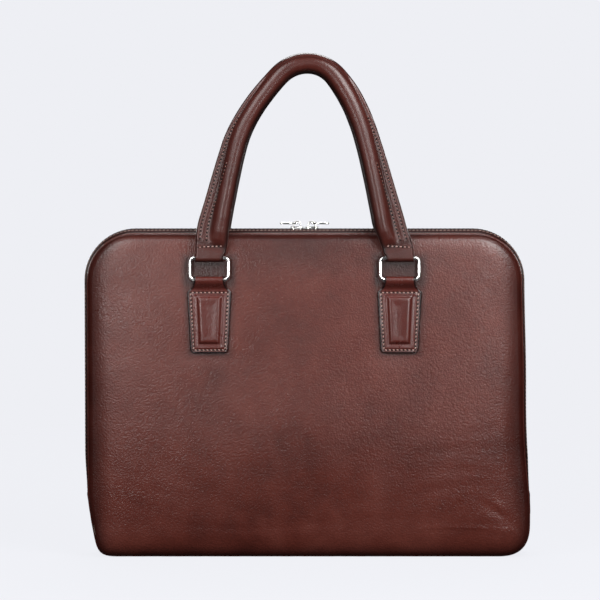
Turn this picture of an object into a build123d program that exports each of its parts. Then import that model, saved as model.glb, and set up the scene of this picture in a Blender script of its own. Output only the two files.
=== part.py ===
from build123d import *
import os

# A slim leather briefcase with two rolled handles, a piped front and rear panel and a zip
# that runs up both sides and over the top. Millimetres. X is to the right as seen from the
# front, the front faces -Y, Z is up, and the origin is the middle of the flat base.
#
# Each half is modelled in a half frame (x, up, out), where out is the distance from the
# case's middle plane. front() and rear() turn that frame into the part's own.

# ---- Driving dimensions -------------------------------------------------------------
CASE_WIDTH = 380.0
CASE_HEIGHT = 284.0
TOP_RADIUS = 42.0
BOTTOM_RADIUS = 28.0
LEATHER = 1.4
FABRIC = 0.6
GAP = 0.1

# Inset from the outline and distance out of the leather panel's outside, edge to middle.
PANEL_PROFILE = [(1.1, 23.6), (3.2, 26.8), (7.0, 29.4), (13.0, 30.6), (20.0, 31.0)]
# The same for its inside, one leather thickness further in.
PANEL_INNER = [(2.5, 23.6), (4.6, 26.0), (8.0, 28.1), (13.6, 29.2), (20.4, 29.6)]
PANEL_OUT = PANEL_PROFILE[-1][1]

PIPING_RADIUS = 1.5
PIPING_INSET = 1.8
PIPING_OUT = 22.0

# The zip opening: it starts above the base gusset on each side.
GUSSET_TOP = 50.0
ZIP_END = 52.0
BASE_HALF_DEPTH = 20.2
FACING_SEAM = (0.4, 20.4)
FACING_EDGE = (-2.6, 11.0)
TAPE_INSETS = (-0.6, 0.0)
TAPE_OUT = (3.2, 12.8)
CHAIN_INSETS = (-3.2, -0.2)
CHAIN_OUT = (1.3, 3.1)

LINING_INSET = 5.4
LINING_OUT = 25.4
PADDING_INSET = 22.0
PADDING_OUT = (26.2, 28.6)

ANCHOR_X = 82.7
TAB_TOP = 235.5
TAB_BOTTOM = 179.3
TAB_TOP_WIDTH = 39.0
TAB_BOTTOM_WIDTH = 33.0
TAB_THICK = 2.4
LOOP_WIDTH = 26.3
LOOP_LEATHER = 1.2
NECK_FOOT = 229.0
PAD_SPAN = (188.0, 229.0)
PAD_WIDTHS = (17.5, 21.0)
PAD_BEVEL = 1.5
PAD_RISE = 1.45
FILLER_SPAN = (191.0, 226.0)
FILLER_WIDTHS = (13.0, 16.0)
FILLER_OUT = (1.2, 3.1)
BACKING_SPAN = (174.0, 240.0)
BACKING_HALF_WIDTH = 18.0

RING_OUT = 36.0
RING_BAR_RADIUS = 1.75
RING_LOW = 243.4
RING_HIGH = 262.5
RING_WIDTH = 33.5
RING_CORNER = 4.0
BAR_CLEARANCE = 0.08

HANDLE_APEX = 431.6
HANDLE_RADIUS = 8.75
CORE_RADIUS = 6.6
# Radius and turn in degrees of the arcs from the handle's apex down one leg.
HANDLE_ARCS = [(33.0, 48.0), (160.0, 26.0), (900.0, 2.4)]
LEG_STEP = 26.4
LEG_SECTIONS = [(8.75, 8.75), (12.2, 7.4), (13.0, 3.7)]
STRAP_WIDTH = 24.7
STRAP_THICK = 7.0

SLIDER_START = 0.6
SLIDER_LENGTH = 11.8
SLIDER_HALF_WIDTH = 4.6
SLIDER_PLATE = 1.4
SLIDER_GUIDE_OUT = 3.5
BRIDGE_SIZE = (7.0, 6.0)
BRIDGE_CORNER = 1.6
BRIDGE_HALF_WIDTH = 1.0
PULL_AXIS_X = 6.5
PULL_AXIS_UP = CASE_HEIGHT + 7.6
PULL_EYE_RADIUS = 1.0
PULL_REACH = 15.1
PULL_TAB_START = 4.2
PULL_HALF_WIDTH = 3.2
PULL_ARM_OUT = 1.3
PULL_THICK = 1.6

POCKET_HALF_WIDTH = 115.0
POCKET_SPAN = (60.0, 210.0)
POCKET_THICK = 2.2
POCKET_HEM = 2.0

SLEEVE_HALF_WIDTH = 162.0
SLEEVE_TOP = 228.0
SLEEVE_OUT = (8.0, 25.3)
SLEEVE_PANEL = 6.0
SLEEVE_WALL = 3.0

LENGTHWAYS = Rot(0, 90, 0)
SIDE = Plane(origin=(0, 0, 0), x_dir=(0, 0, 1), z_dir=(-1, 0, 0))


# ---- Helpers ------------------------------------------------------------------------
def front(shape):
    """A shape of the half frame, on the front half."""
    return Plane.XZ * shape


def rear(shape):
    """A shape of the half frame, on the rear half."""
    return mirror(Plane.XZ * shape, about=Plane.XZ)


def save(shape, node):
    export_step(shape, f"parts/{node}.step")


def block(x_span, up_span, out_span):
    """A box between two values on each axis of the half frame."""
    centre = [(low + high) / 2 for low, high in (x_span, up_span, out_span)]
    size = [high - low for low, high in (x_span, up_span, out_span)]
    return Pos(*centre) * Box(*size)


def bar(x, up, out, radius, length):
    """A round bar along X."""
    return Pos(x, up, out) * LENGTHWAYS * Cylinder(radius, length)


def outline(inset, out):
    """The case's outline, pulled in by inset, as a face at that distance out."""
    height = CASE_HEIGHT - 2 * inset
    shape = Rectangle(CASE_WIDTH - 2 * inset, height, align=(Align.CENTER, Align.MIN))
    shape = fillet(shape.vertices().group_by(Axis.Y)[-1], TOP_RADIUS - inset)
    shape = fillet(shape.vertices().group_by(Axis.Y)[0], BOTTOM_RADIUS - inset)
    return Pos(0, inset, out) * shape


def band(insets, outs):
    """A strip that follows the outline, between two insets and two distances out."""
    depth = outs[1] - outs[0]
    outside = extrude(outline(insets[0], outs[0]), depth)
    return outside - extrude(outline(insets[1], outs[0]), depth)


def domed(profile):
    """A solid through outlines given as pairs of inset and distance out."""
    return loft([outline(inset, out) for inset, out in profile], ruled=True)


def above(shape, up):
    return shape & block((-300, 300), (up, 400), (-60, 60))


def below(shape, up):
    return shape & block((-300, 300), (-20, up), (-60, 60))


def trapezoid(top_width, bottom_width, bottom, top):
    """An upright trapezoid face in the half frame."""
    corners = [(-bottom_width / 2, bottom), (bottom_width / 2, bottom)]
    corners += [(top_width / 2, top), (-top_width / 2, top)]
    return make_face(Polyline(*corners, close=True))


def tube(path, radius):
    """A round bar along a path of lines and arcs."""
    start = Plane(origin=path @ 0, z_dir=path % 0)
    return sweep(start * Circle(radius), path=path)


# ---- Panels and what backs them -----------------------------------------------------
def panel():
    return domed(PANEL_PROFILE) - domed(PANEL_INNER)


def padding():
    return extrude(outline(PADDING_INSET, PADDING_OUT[0]), PADDING_OUT[1] - PADDING_OUT[0])


def lining():
    """A fabric pan: the plate behind the padding, and a wall up to the zip tape."""
    plate = extrude(outline(LINING_INSET, LINING_OUT), FABRIC)
    insets = (LINING_INSET, LINING_INSET + FABRIC)
    wall = above(band(insets, (TAPE_OUT[0] + 1, LINING_OUT)), ZIP_END)
    return plate + wall


def piping():
    return tube(outline(PIPING_INSET, PIPING_OUT).face().outer_wire(), PIPING_RADIUS)


def anchor_backings():
    """Stiff patches behind the leather, which the anchor tabs are stitched through to."""
    outs = (PADDING_OUT[1] + GAP, PANEL_INNER[-1][1] - GAP)
    patches = []
    for x in (-ANCHOR_X, ANCHOR_X):
        x_span = (x - BACKING_HALF_WIDTH, x + BACKING_HALF_WIDTH)
        patches.append(block(x_span, BACKING_SPAN, outs))
    return patches


def slip_pocket():
    """A flat fabric pocket on the lining, open at its top."""
    half = POCKET_HALF_WIDTH
    inner = half - POCKET_HEM
    back = LINING_OUT - GAP
    pocket = block((-half, half), POCKET_SPAN, (back - POCKET_THICK, back))
    slot_span = (POCKET_SPAN[0] + POCKET_HEM, POCKET_SPAN[1] + 1)
    return pocket - block((-inner, inner), slot_span, (back - 1.4, back - 0.4))


def laptop_sleeve():
    """A padded divider whose fabric sides and floor make a pocket against the lining."""
    half = SLEEVE_HALF_WIDTH
    inner = half - SLEEVE_WALL
    floor = LINING_INSET + FABRIC + 1.5
    shell = block((-half, half), (floor, SLEEVE_TOP), SLEEVE_OUT)
    pocket_outs = (SLEEVE_OUT[0] + SLEEVE_PANEL, SLEEVE_OUT[1] + 1)
    return shell - block((-inner, inner), (floor + SLEEVE_WALL, SLEEVE_TOP + 1), pocket_outs)


# ---- Gusset and zip -----------------------------------------------------------------
def gusset_facing():
    """The leather strip from the piping up to the zip."""
    inner_seam = (FACING_SEAM[0] + LEATHER, FACING_SEAM[1])
    inner_edge = (FACING_EDGE[0] + LEATHER, FACING_EDGE[1])
    strip = domed([FACING_EDGE, FACING_SEAM]) - domed([inner_edge, inner_seam])
    return above(strip, ZIP_END)


def zip_tape():
    return above(band(TAPE_INSETS, TAPE_OUT), ZIP_END)


def zip_chain():
    """One side's teeth, as the strip that they fill."""
    return above(band(CHAIN_INSETS, CHAIN_OUT), ZIP_END)


def base_gusset():
    insets = (0.0, LEATHER + 0.2)
    return below(band(insets, (-BASE_HALF_DEPTH, BASE_HALF_DEPTH)), GUSSET_TOP)


def base_board():
    return block((-150, 150), (LEATHER + 0.3, LEATHER + 2.3), (-19, 19))


def base_lining():
    reach = LINING_OUT - FABRIC
    insets = (LINING_INSET, LINING_INSET + FABRIC)
    return below(band(insets, (-reach, reach)), GUSSET_TOP)


def zip_end_tab():
    """The leather patch over the right-hand end of the zip."""
    side = CASE_WIDTH / 2 + 0.05
    tab = block((side, side + LEATHER), (GUSSET_TOP - 16, GUSSET_TOP + 0.5), (-10, 10))
    return fillet(tab.edges().filter_by(Axis.X), 3.0)


def slider():
    """The right-hand slider: two plates joined by a post, guides and the pull's bridge."""
    chain_top = CASE_HEIGHT - CHAIN_INSETS[0]
    tape_top = CASE_HEIGHT - TAPE_INSETS[0]
    tape_low = CASE_HEIGHT - TAPE_INSETS[1]
    long_span = (SLIDER_START, SLIDER_START + SLIDER_LENGTH)
    wide_span = (-SLIDER_HALF_WIDTH, SLIDER_HALF_WIDTH)
    plate_low = chain_top + 0.15
    plate_top = plate_low + SLIDER_PLATE
    bottom_top = tape_low - 0.2
    top_plate = block(long_span, (plate_low, plate_top), wide_span)
    top_plate = fillet(top_plate.edges().filter_by(Axis.Y), 2.0)
    bottom_plate = block(long_span, (bottom_top - SLIDER_PLATE, bottom_top), wide_span)
    bottom_plate = fillet(bottom_plate.edges().filter_by(Axis.Y), 2.0)
    body = top_plate + bottom_plate
    guide_x = (SLIDER_START + 2.0, SLIDER_START + SLIDER_LENGTH - 2.0)
    for side in (-1, 1):
        outs = sorted((side * SLIDER_GUIDE_OUT, side * SLIDER_HALF_WIDTH))
        body += block(guide_x, (tape_top + 0.4, plate_low + 0.3), outs)
    post_x = (SLIDER_START + 0.6, SLIDER_START + 3.0)
    body += block(post_x, (bottom_top - 0.3, plate_low + 0.3), (-1, 1))
    bridge = RectangleRounded(*BRIDGE_SIZE, BRIDGE_CORNER)
    bridge = extrude(bridge, BRIDGE_HALF_WIDTH, both=True)
    body += Pos(PULL_AXIS_X, plate_top + BRIDGE_SIZE[1] / 2 - 0.6, 0) * bridge
    eye = Cylinder(PULL_EYE_RADIUS, 4 * BRIDGE_HALF_WIDTH)
    return body - Pos(PULL_AXIS_X, PULL_AXIS_UP, 0) * eye


def pull():
    """The right-hand pull: a cross bar in the slider's bridge, two arms and a tab."""
    half = PULL_THICK / 2
    up_span = (PULL_AXIS_UP - half, PULL_AXIS_UP + half)
    bar_radius = PULL_EYE_RADIUS - BAR_CLEARANCE
    cross = Pos(PULL_AXIS_X, PULL_AXIS_UP, 0) * Cylinder(bar_radius, 2 * PULL_HALF_WIDTH)
    tab_x = (PULL_AXIS_X + PULL_TAB_START, PULL_AXIS_X + PULL_REACH)
    tab = block(tab_x, up_span, (-PULL_HALF_WIDTH, PULL_HALF_WIDTH))
    far_edges = tab.edges().filter_by(Axis.Y).group_by(Axis.X)[-1]
    shape = cross + fillet(far_edges, 2.6)
    shape -= Pos(tab_x[1] - 3.4, PULL_AXIS_UP, 0) * Rot(90, 0, 0) * Cylinder(1.3, 4.0)
    for side in (-1, 1):
        outs = sorted((side * PULL_ARM_OUT, side * PULL_HALF_WIDTH))
        shape += block((PULL_AXIS_X, tab_x[0] + 0.5), up_span, outs)
        knuckle = Cylinder(bar_radius + 0.4, outs[1] - outs[0])
        shape += Pos(PULL_AXIS_X, PULL_AXIS_UP, sum(outs) / 2) * knuckle
    return shape


# ---- Handle, rings and anchor tabs --------------------------------------------------
def anchor_tab(x):
    """A stitched leather tab with a padded middle, looped round the ring's lower bar."""
    base = PANEL_OUT + 0.05
    face = base + TAB_THICK
    plate = trapezoid(TAB_TOP_WIDTH, TAB_BOTTOM_WIDTH, TAB_BOTTOM, TAB_TOP)
    plate = fillet(plate.vertices(), 4.0)
    tab = Pos(0, 0, base) * extrude(plate, TAB_THICK)
    low, high = PAD_SPAN
    pad_foot = trapezoid(PAD_WIDTHS[1], PAD_WIDTHS[0], low, high)
    widths = (PAD_WIDTHS[1] - 2 * PAD_BEVEL, PAD_WIDTHS[0] - 2 * PAD_BEVEL)
    pad_top = trapezoid(*widths, low + PAD_BEVEL, high - PAD_BEVEL)
    tab += loft([Pos(0, 0, face) * pad_foot, Pos(0, 0, face + PAD_RISE) * pad_top], ruled=True)
    loop_radius = RING_BAR_RADIUS + BAR_CLEARANCE + LOOP_LEATHER
    neck_points = [(base, NECK_FOOT), (RING_OUT - loop_radius, RING_LOW)]
    neck_points += [(RING_OUT + loop_radius, RING_LOW), (face + 1.4, NECK_FOOT + 2)]
    neck_points.append((face, NECK_FOOT))
    neck = SIDE * make_face(Polyline(*neck_points, close=True))
    tab += extrude(neck, LOOP_WIDTH / 2, both=True)
    tab += bar(0, RING_LOW, RING_OUT, loop_radius, LOOP_WIDTH)
    tab -= bar(0, RING_LOW, RING_OUT, RING_BAR_RADIUS + BAR_CLEARANCE, LOOP_WIDTH + 2)
    cavity = trapezoid(FILLER_WIDTHS[1], FILLER_WIDTHS[0], *FILLER_SPAN)
    cavity = extrude(cavity, FILLER_OUT[1] - FILLER_OUT[0])
    return Pos(x, 0, 0) * (tab - Pos(0, 0, base + FILLER_OUT[0]) * cavity)


def tab_fillers():
    """The foam pads inside the anchor tabs."""
    widths = (FILLER_WIDTHS[1] - 2 * GAP, FILLER_WIDTHS[0] - 2 * GAP)
    pad = trapezoid(*widths, FILLER_SPAN[0] + GAP, FILLER_SPAN[1] - GAP)
    pad = extrude(pad, FILLER_OUT[1] - FILLER_OUT[0] - GAP)
    out = PANEL_OUT + FILLER_OUT[0] + GAP
    return [Pos(x, 0, out) * pad for x in (-ANCHOR_X, ANCHOR_X)]


def ring(x):
    """A rectangular ring of round bar, upright, with its lower bar in the anchor tab."""
    height = RING_HIGH - RING_LOW
    frame = RectangleRounded(RING_WIDTH, height, RING_CORNER)
    frame = Pos(x, (RING_LOW + RING_HIGH) / 2, RING_OUT) * frame
    return tube(frame.face().outer_wire(), RING_BAR_RADIUS)


def leg_line():
    """The handle's centre line from the apex down the right leg, as tangent arcs."""
    start = (0, HANDLE_APEX, RING_OUT)
    heading = (1, 0, 0)
    arcs = []
    for radius, turn in HANDLE_ARCS:
        arc = JernArc(start=start, tangent=heading, radius=radius, arc_size=-turn)
        arcs.append(arc)
        start = arc @ 1
        heading = arc % 1
    return arcs


def handle_path():
    arcs = [arc.edge() for arc in leg_line()]
    other = [mirror(arc, about=Plane.YZ).edge() for arc in arcs]
    return Wire(other + arcs)


def leg_end():
    """The right leg below its round part: it flattens into a strap looped on the ring."""
    start = leg_line()[-1] @ 1
    heading = leg_line()[-1] % 1
    across = Vector(-heading.Y, heading.X, 0)
    sections = []
    for number, (width, thick) in enumerate(LEG_SECTIONS):
        origin = start + heading * (number * LEG_STEP)
        plane = Plane(origin=origin, x_dir=across, z_dir=heading)
        sections.append(plane * Ellipse(width, thick))
    leg = loft(sections)
    half = STRAP_WIDTH / 2
    strap_x = (ANCHOR_X - half, ANCHOR_X + half)
    outs = (RING_OUT - STRAP_THICK / 2, RING_OUT + STRAP_THICK / 2)
    leg += block(strap_x, (RING_HIGH, origin.Y + 1.5), outs)
    leg += bar(ANCHOR_X, RING_HIGH, RING_OUT, STRAP_THICK / 2, STRAP_WIDTH)
    hole_radius = RING_BAR_RADIUS + BAR_CLEARANCE
    return leg - bar(ANCHOR_X, RING_HIGH, RING_OUT, hole_radius, STRAP_WIDTH + 2)


def handle_cover():
    path = handle_path()
    right = leg_end()
    shell = tube(path, HANDLE_RADIUS) + right + mirror(right, about=Plane.YZ)
    return shell - tube(path, CORE_RADIUS + GAP)


def handle_core():
    return tube(handle_path(), CORE_RADIUS)


# ---- The whole case -----------------------------------------------------------------
def save_half(name, place):
    """The nodes that the front and the rear half have in common."""
    save(place(panel()), f"{name}_panel")
    save(place(padding()), f"{name}_padding")
    save(place(lining()), f"{name}_lining")
    save(place(piping()), f"{name}_piping")
    save(place(gusset_facing()), f"{name}_gusset_facing")
    save(place(zip_tape()), f"{name}_zip_tape")
    save(place(zip_chain()), f"{name}_zip_chain")
    save(place(Compound(tab_fillers())), f"{name}_tab_fillers")
    save(place(Compound(anchor_backings())), f"{name}_anchor_backings")
    for side, x in (("left", -ANCHOR_X), ("right", ANCHOR_X)):
        save(place(anchor_tab(x)), f"{name}_{side}_anchor_tab")
        save(place(ring(x)), f"{name}_{side}_ring")
    save(place(handle_cover()), f"{name}_handle_cover")
    save(place(handle_core()), f"{name}_handle_core")


os.makedirs("parts", exist_ok=True)
save_half("front", front)
save_half("rear", rear)
save(front(slip_pocket()), "front_slip_pocket")
save(rear(laptop_sleeve()), "laptop_sleeve")
save(front(base_gusset()), "base_gusset")
save(front(base_board()), "base_board")
save(front(base_lining()), "base_lining")
for piece, node in ((zip_end_tab(), "zip_end_tab"), (slider(), "slider"), (pull(), "pull")):
    save(front(piece), f"right_{node}")
    save(front(mirror(piece, about=Plane.YZ)), f"left_{node}")
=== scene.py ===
import math

import bmesh
import bpy
import numpy as np
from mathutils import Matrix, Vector, noise


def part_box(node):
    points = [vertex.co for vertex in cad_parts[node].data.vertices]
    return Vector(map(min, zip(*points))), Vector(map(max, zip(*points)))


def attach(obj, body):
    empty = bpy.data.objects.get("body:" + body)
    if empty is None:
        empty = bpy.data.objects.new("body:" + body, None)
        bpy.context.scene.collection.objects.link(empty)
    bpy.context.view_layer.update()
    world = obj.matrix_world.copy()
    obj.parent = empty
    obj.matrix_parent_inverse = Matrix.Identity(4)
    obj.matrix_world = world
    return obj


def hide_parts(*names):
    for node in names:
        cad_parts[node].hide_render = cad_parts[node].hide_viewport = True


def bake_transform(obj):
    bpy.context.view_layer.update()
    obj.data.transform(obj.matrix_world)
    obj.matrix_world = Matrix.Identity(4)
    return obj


# The briefcase's looks, built around its CAD model. Shapes are worked out in millimetres,
# x to the right, y away from the viewer and z up, and become metres in make_mesh(). Most
# pieces are made for the rear (y above 0) and mirrored by sign for the front.
MM = 0.001

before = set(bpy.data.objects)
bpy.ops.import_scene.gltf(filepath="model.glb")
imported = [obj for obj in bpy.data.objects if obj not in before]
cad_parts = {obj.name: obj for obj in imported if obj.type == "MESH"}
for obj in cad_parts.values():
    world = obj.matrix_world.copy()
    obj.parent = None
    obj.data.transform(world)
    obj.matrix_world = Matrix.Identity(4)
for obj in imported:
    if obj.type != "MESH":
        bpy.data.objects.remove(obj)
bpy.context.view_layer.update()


# ---- Sizes read from the frame
def box_mm(node):
    low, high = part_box(node)
    return np.array(low) / MM, np.array(high) / MM


def middle(node):
    low, high = box_mm(node)
    return (low + high) / 2


base_high = box_mm("base_gusset")[1]
piping_low, piping_high = box_mm("front_piping")
PIPING_R = (piping_high[1] - piping_low[1]) / 2
PIPING_INSET = PIPING_R + base_high[0] - piping_high[0]
PIPING_Y = -(piping_high[1] + piping_low[1]) / 2
HALF_W = base_high[0]
TOP_Z = piping_high[2] + PIPING_INSET - PIPING_R
TOP_R = 42.0
BOTTOM_R = 28.0
PANEL_Y = -box_mm("front_panel")[0][1]
PANEL_EDGE_Y = -box_mm("front_panel")[1][1]
ZIP_END_Z = box_mm("front_zip_tape")[0][2]
CROWN = box_mm("front_zip_chain")[1][2] - TOP_Z
BASE_TOP_Z = base_high[2]
RING_X = -middle("front_left_ring")[0]
RING_Y = -middle("front_left_ring")[1]
ring_low, ring_high = box_mm("front_left_ring")
BAR_R = (ring_high[1] - ring_low[1]) / 2
RING_HALF_W = (ring_high[0] - ring_low[0]) / 2 - BAR_R
RING_LOW_Z = ring_low[2] + BAR_R
RING_HIGH_Z = ring_high[2] - BAR_R
cover_low, cover_high = box_mm("front_handle_cover")
GRIP_R = (cover_high[1] - cover_low[1]) / 2
APEX_Z = cover_high[2] - GRIP_R
# The arcs of the handle's centre line from its apex: radius, and turn in degrees.
HANDLE_ARCS = ((33.0, 48.0), (160.0, 26.0), (900.0, 2.4))
LEG_RUN = 51.5
# The anchor tabs' plates: heights of their foot and shoulders, and their widths there.
TAB_Z = (179.3, 235.5)
TAB_W = (33.0, 39.0)
SIDES = (("left", -1), ("right", 1))
HALVES = (("front", -1, "front_half"), ("rear", 1, "case"))


# ---- Small maths
def smooth(value, low, high):
    """0 below low and 1 above high, smoothly."""
    t = np.clip((np.asarray(value, float) - low) / (high - low), 0, 1)
    return t * t * (3 - 2 * t)


def bump(value, centre, width):
    return np.exp(-(((np.asarray(value, float) - centre) / width) ** 2))


def unit(vectors):
    return vectors / np.maximum(np.linalg.norm(vectors, axis=-1, keepdims=True), 1e-9)


def noise_at(points, scale, seed):
    """Smooth noise of about -1 to 1 at points in millimetres, with features of scale."""
    shift = Vector((seed * 17.3, seed * 5.1, seed * 9.7))
    flat = points.reshape(-1, 3)
    values = [noise.noise(Vector(p) / scale + shift) for p in flat]
    return np.array(values).reshape(points.shape[:-1])


# The superellipse powers of the lower left and lower right corners: 2 is round, and more
# is squarer. Then how far the sides have moved, in millimetres.
CORNER_POWERS = (6.0, 2.9)
FLARE_LOW, FLARE_SIDE = 6.0, 1.9
LEAN_IN, LEAN_BELOW_Z = 9.5, 58.0


def around(count):
    """Angles all the way round, evenly spaced."""
    return np.arange(count) * 2 * math.pi / count


def squarish(angle, power):
    """Cosine and sine, pushed towards a square's: at a power of 1 round, towards 0 square."""
    pair = np.array([np.cos(angle), np.sin(angle)])
    return np.sign(pair) * np.abs(pair) ** power


def slump(points):
    """Soft leather's set: its bottom corners are tighter than the frame's, the lower right
    one flares and the lower left one leans in."""
    out = points.copy()
    x, z = points[..., 0], points[..., 2]
    away = np.maximum(np.abs(x) - (HALF_W - BOTTOM_R), 0)
    down = np.maximum(BOTTOM_R - z, 0)
    power = np.where(x < 0, *CORNER_POWERS)
    reach = np.maximum(np.hypot(away, down), 1e-6)
    bulge = ((away / reach) ** power + (down / reach) ** power) ** (-1 / power)
    tighter = np.where(away * down > 0, bulge - 1, 0)
    out[..., 0] += np.sign(x) * away * tighter
    out[..., 2] -= down * tighter
    z = out[..., 2]
    flare = FLARE_LOW * bump(z, 34.0, 50.0) + FLARE_SIDE * smooth(z, 250, 150)
    lean = LEAN_IN * np.clip(1 - z / LEAN_BELOW_Z, 0, 1) ** 1.5
    out[..., 0] += smooth(x, 70, 190) * flare + smooth(-x, 60, 190) * lean
    return out


# ---- Mesh building
def get_points(obj):
    return np.array([vertex.co[:] for vertex in obj.data.vertices])


def set_points(obj, points):
    """Moves an object's points, given in metres."""
    obj.data.vertices.foreach_set("co", points.astype(np.float32).ravel())
    obj.data.update()


def make_mesh(name, points, faces, material, edge=None, soft=True, slumps=True):
    """An object from points in millimetres. edge is how dark each point is painted: edge paint on
    cut edges, painted shade elsewhere.
    """
    points = np.asarray(points, float).reshape(-1, 3)
    if slumps:
        points = slump(points)
    mesh = bpy.data.meshes.new(name)
    mesh.from_pydata((points * MM).tolist(), [], faces)
    mesh.validate()
    mesh.materials.append(material)
    shade = mesh.attributes.new("edge", "FLOAT", "POINT")
    values = np.zeros(len(points)) if edge is None else np.asarray(edge, float).ravel()
    shade.data.foreach_set("value", values.astype(np.float32))
    mesh.polygons.foreach_set("use_smooth", [soft] * len(mesh.polygons))
    mesh.update()
    obj = bpy.data.objects.new(name, mesh)
    bpy.context.scene.collection.objects.link(obj)
    return obj


def grid_faces(rows, columns, wrap_rows=False, wrap_columns=False, start=0):
    """Quads between the points of a grid, whose first point has the number start."""
    faces = []
    for i in range(rows if wrap_rows else rows - 1):
        k = (i + 1) % rows
        for j in range(columns if wrap_columns else columns - 1):
            n = (j + 1) % columns
            faces.append((start + i * columns + j, start + k * columns + j,
                          start + k * columns + n, start + i * columns + n))
    return faces


def tube_faces(rings, sides, start=0):
    """The faces of rings of points, capped at both ends."""
    last = start + (rings - 1) * sides
    return [*grid_faces(rings, sides, wrap_columns=True, start=start),
            tuple(range(start, start + sides)), tuple(range(last, last + sides))[::-1]]


def grid(name, points, material, edge=None, wrap=(False, False), caps=False, **options):
    """A mesh from points of shape (rows, columns, 3), closed along either way if wrapped."""
    rows, columns = points.shape[:2]
    faces = grid_faces(rows, columns, *wrap)
    if caps:
        faces.append(tuple(range(columns)))
        faces.append(tuple(range((rows - 1) * columns, rows * columns))[::-1])
    return make_mesh(name, points, faces, material, edge, **options)


def fix_normals(obj):
    """Turns every face outwards."""
    bm = bmesh.new()
    bm.from_mesh(obj.data)
    bmesh.ops.recalc_face_normals(bm, faces=bm.faces)
    bm.to_mesh(obj.data)
    bm.free()
    return obj


def solid(name, points, material, edge=None, wrap=(False, True), slumps=False):
    """A closed mesh from rings of points: capped at both ends, or wrapped both ways."""
    return fix_normals(grid(name, points, material, edge, wrap, caps=not wrap[0], slumps=slumps))


def apply(obj, kind, **settings):
    """Adds a modifier with its settings and applies it."""
    modifier = obj.modifiers.new(kind.lower(), kind)
    for key, value in settings.items():
        setattr(modifier, key, value)
    bpy.context.view_layer.objects.active = obj
    bpy.ops.object.modifier_apply(modifier=modifier.name)
    return obj


def thicken(obj, thickness, offset=0.0):
    """Gives an open surface its thickness: half to each side, or all inwards at offset -1."""
    return apply(obj, "SOLIDIFY", thickness=thickness * MM, offset=offset, use_even_offset=False)


def join(name, objects):
    """One object from several, keeping their materials."""
    bpy.ops.object.select_all(action="DESELECT")
    for obj in objects:
        obj.select_set(True)
    bpy.context.view_layer.objects.active = objects[0]
    bpy.ops.object.join()
    objects[0].name = name
    return objects[0]


def place(obj, body, slot, *nodes):
    """Rides on a body and stands for CAD nodes, which it hides. slot is not used."""
    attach(obj, body)
    if nodes:
        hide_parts(*nodes)
    return obj


# ---- The case's outline
ARC_LOW = math.pi / 2 * BOTTOM_R
ARC_TOP = math.pi / 2 * TOP_R
RUN_BASE = HALF_W - BOTTOM_R
RUN_SIDE = TOP_Z - TOP_R - BOTTOM_R
RUN_TOP = 2 * (HALF_W - TOP_R)
LENGTHS = (RUN_BASE, ARC_LOW, RUN_SIDE, ARC_TOP, RUN_TOP, ARC_TOP, RUN_SIDE, ARC_LOW, RUN_BASE)
AROUND = sum(LENGTHS)
ZIP_START = RUN_BASE + ARC_LOW + ZIP_END_Z - BOTTOM_R
BASE_END = RUN_BASE + ARC_LOW + BASE_TOP_Z - BOTTOM_R


def outline(s):
    """Points (x, z) and outward normals at distances s along the outline, from the middle
    of the base, up the left side, over the top and down the right side."""
    s = np.mod(np.asarray(s, float), AROUND)
    points, normals = np.zeros(s.shape + (2,)), np.zeros(s.shape + (2,))
    # Corners: centre, radius and first angle. Runs: where each starts and its heading.
    corners = {1: (-RUN_BASE, BOTTOM_R, BOTTOM_R, 270),
               3: (-RUN_TOP / 2, TOP_Z - TOP_R, TOP_R, 180),
               5: (RUN_TOP / 2, TOP_Z - TOP_R, TOP_R, 90),
               7: (RUN_BASE, BOTTOM_R, BOTTOM_R, 0)}
    runs = {0: (0, 0, -1, 0), 2: (-HALF_W, BOTTOM_R, 0, 1), 4: (-RUN_TOP / 2, TOP_Z, 1, 0),
            6: (HALF_W, TOP_Z - TOP_R, 0, -1), 8: (RUN_BASE, 0, -1, 0)}
    start = 0.0
    for k, length in enumerate(LENGTHS):
        here = (s >= start) & (s <= start + length + 1e-9)
        t = s[here] - start
        if k in corners:
            x, z, radius, first = corners[k]
            angle = np.radians(first) - t / radius
            normals[here] = np.stack([np.cos(angle), np.sin(angle)], -1)
            points[here] = np.array([x, z]) + radius * normals[here]
        else:
            x, z, right, up = runs[k]
            points[here] = np.array([x, z]) + t[:, None] * np.array([right, up], float)
            normals[here] = np.array([-up, right])
        start += length
    return points, normals


def follow(s, outs, ys):
    """Points of a section of outsets and y values, carried along the outline."""
    points, normals = outline(s)
    out = np.zeros((len(s), len(outs), 3))
    out[..., [0, 2]] = points[:, None] + normals[:, None] * np.asarray(outs)[None, :, None]
    out[..., 1] = ys
    return out


def edge_distance(x, z):
    """How far inside the case's outline a point is."""
    radius = np.where(z > TOP_Z / 2, TOP_R, BOTTOM_R)
    dx = np.abs(x) - (HALF_W - radius)
    dz = np.abs(z - TOP_Z / 2) - (TOP_Z / 2 - radius)
    outside = np.hypot(np.maximum(dx, 0), np.maximum(dz, 0))
    return radius - outside - np.minimum(np.maximum(dx, dz), 0)


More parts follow.
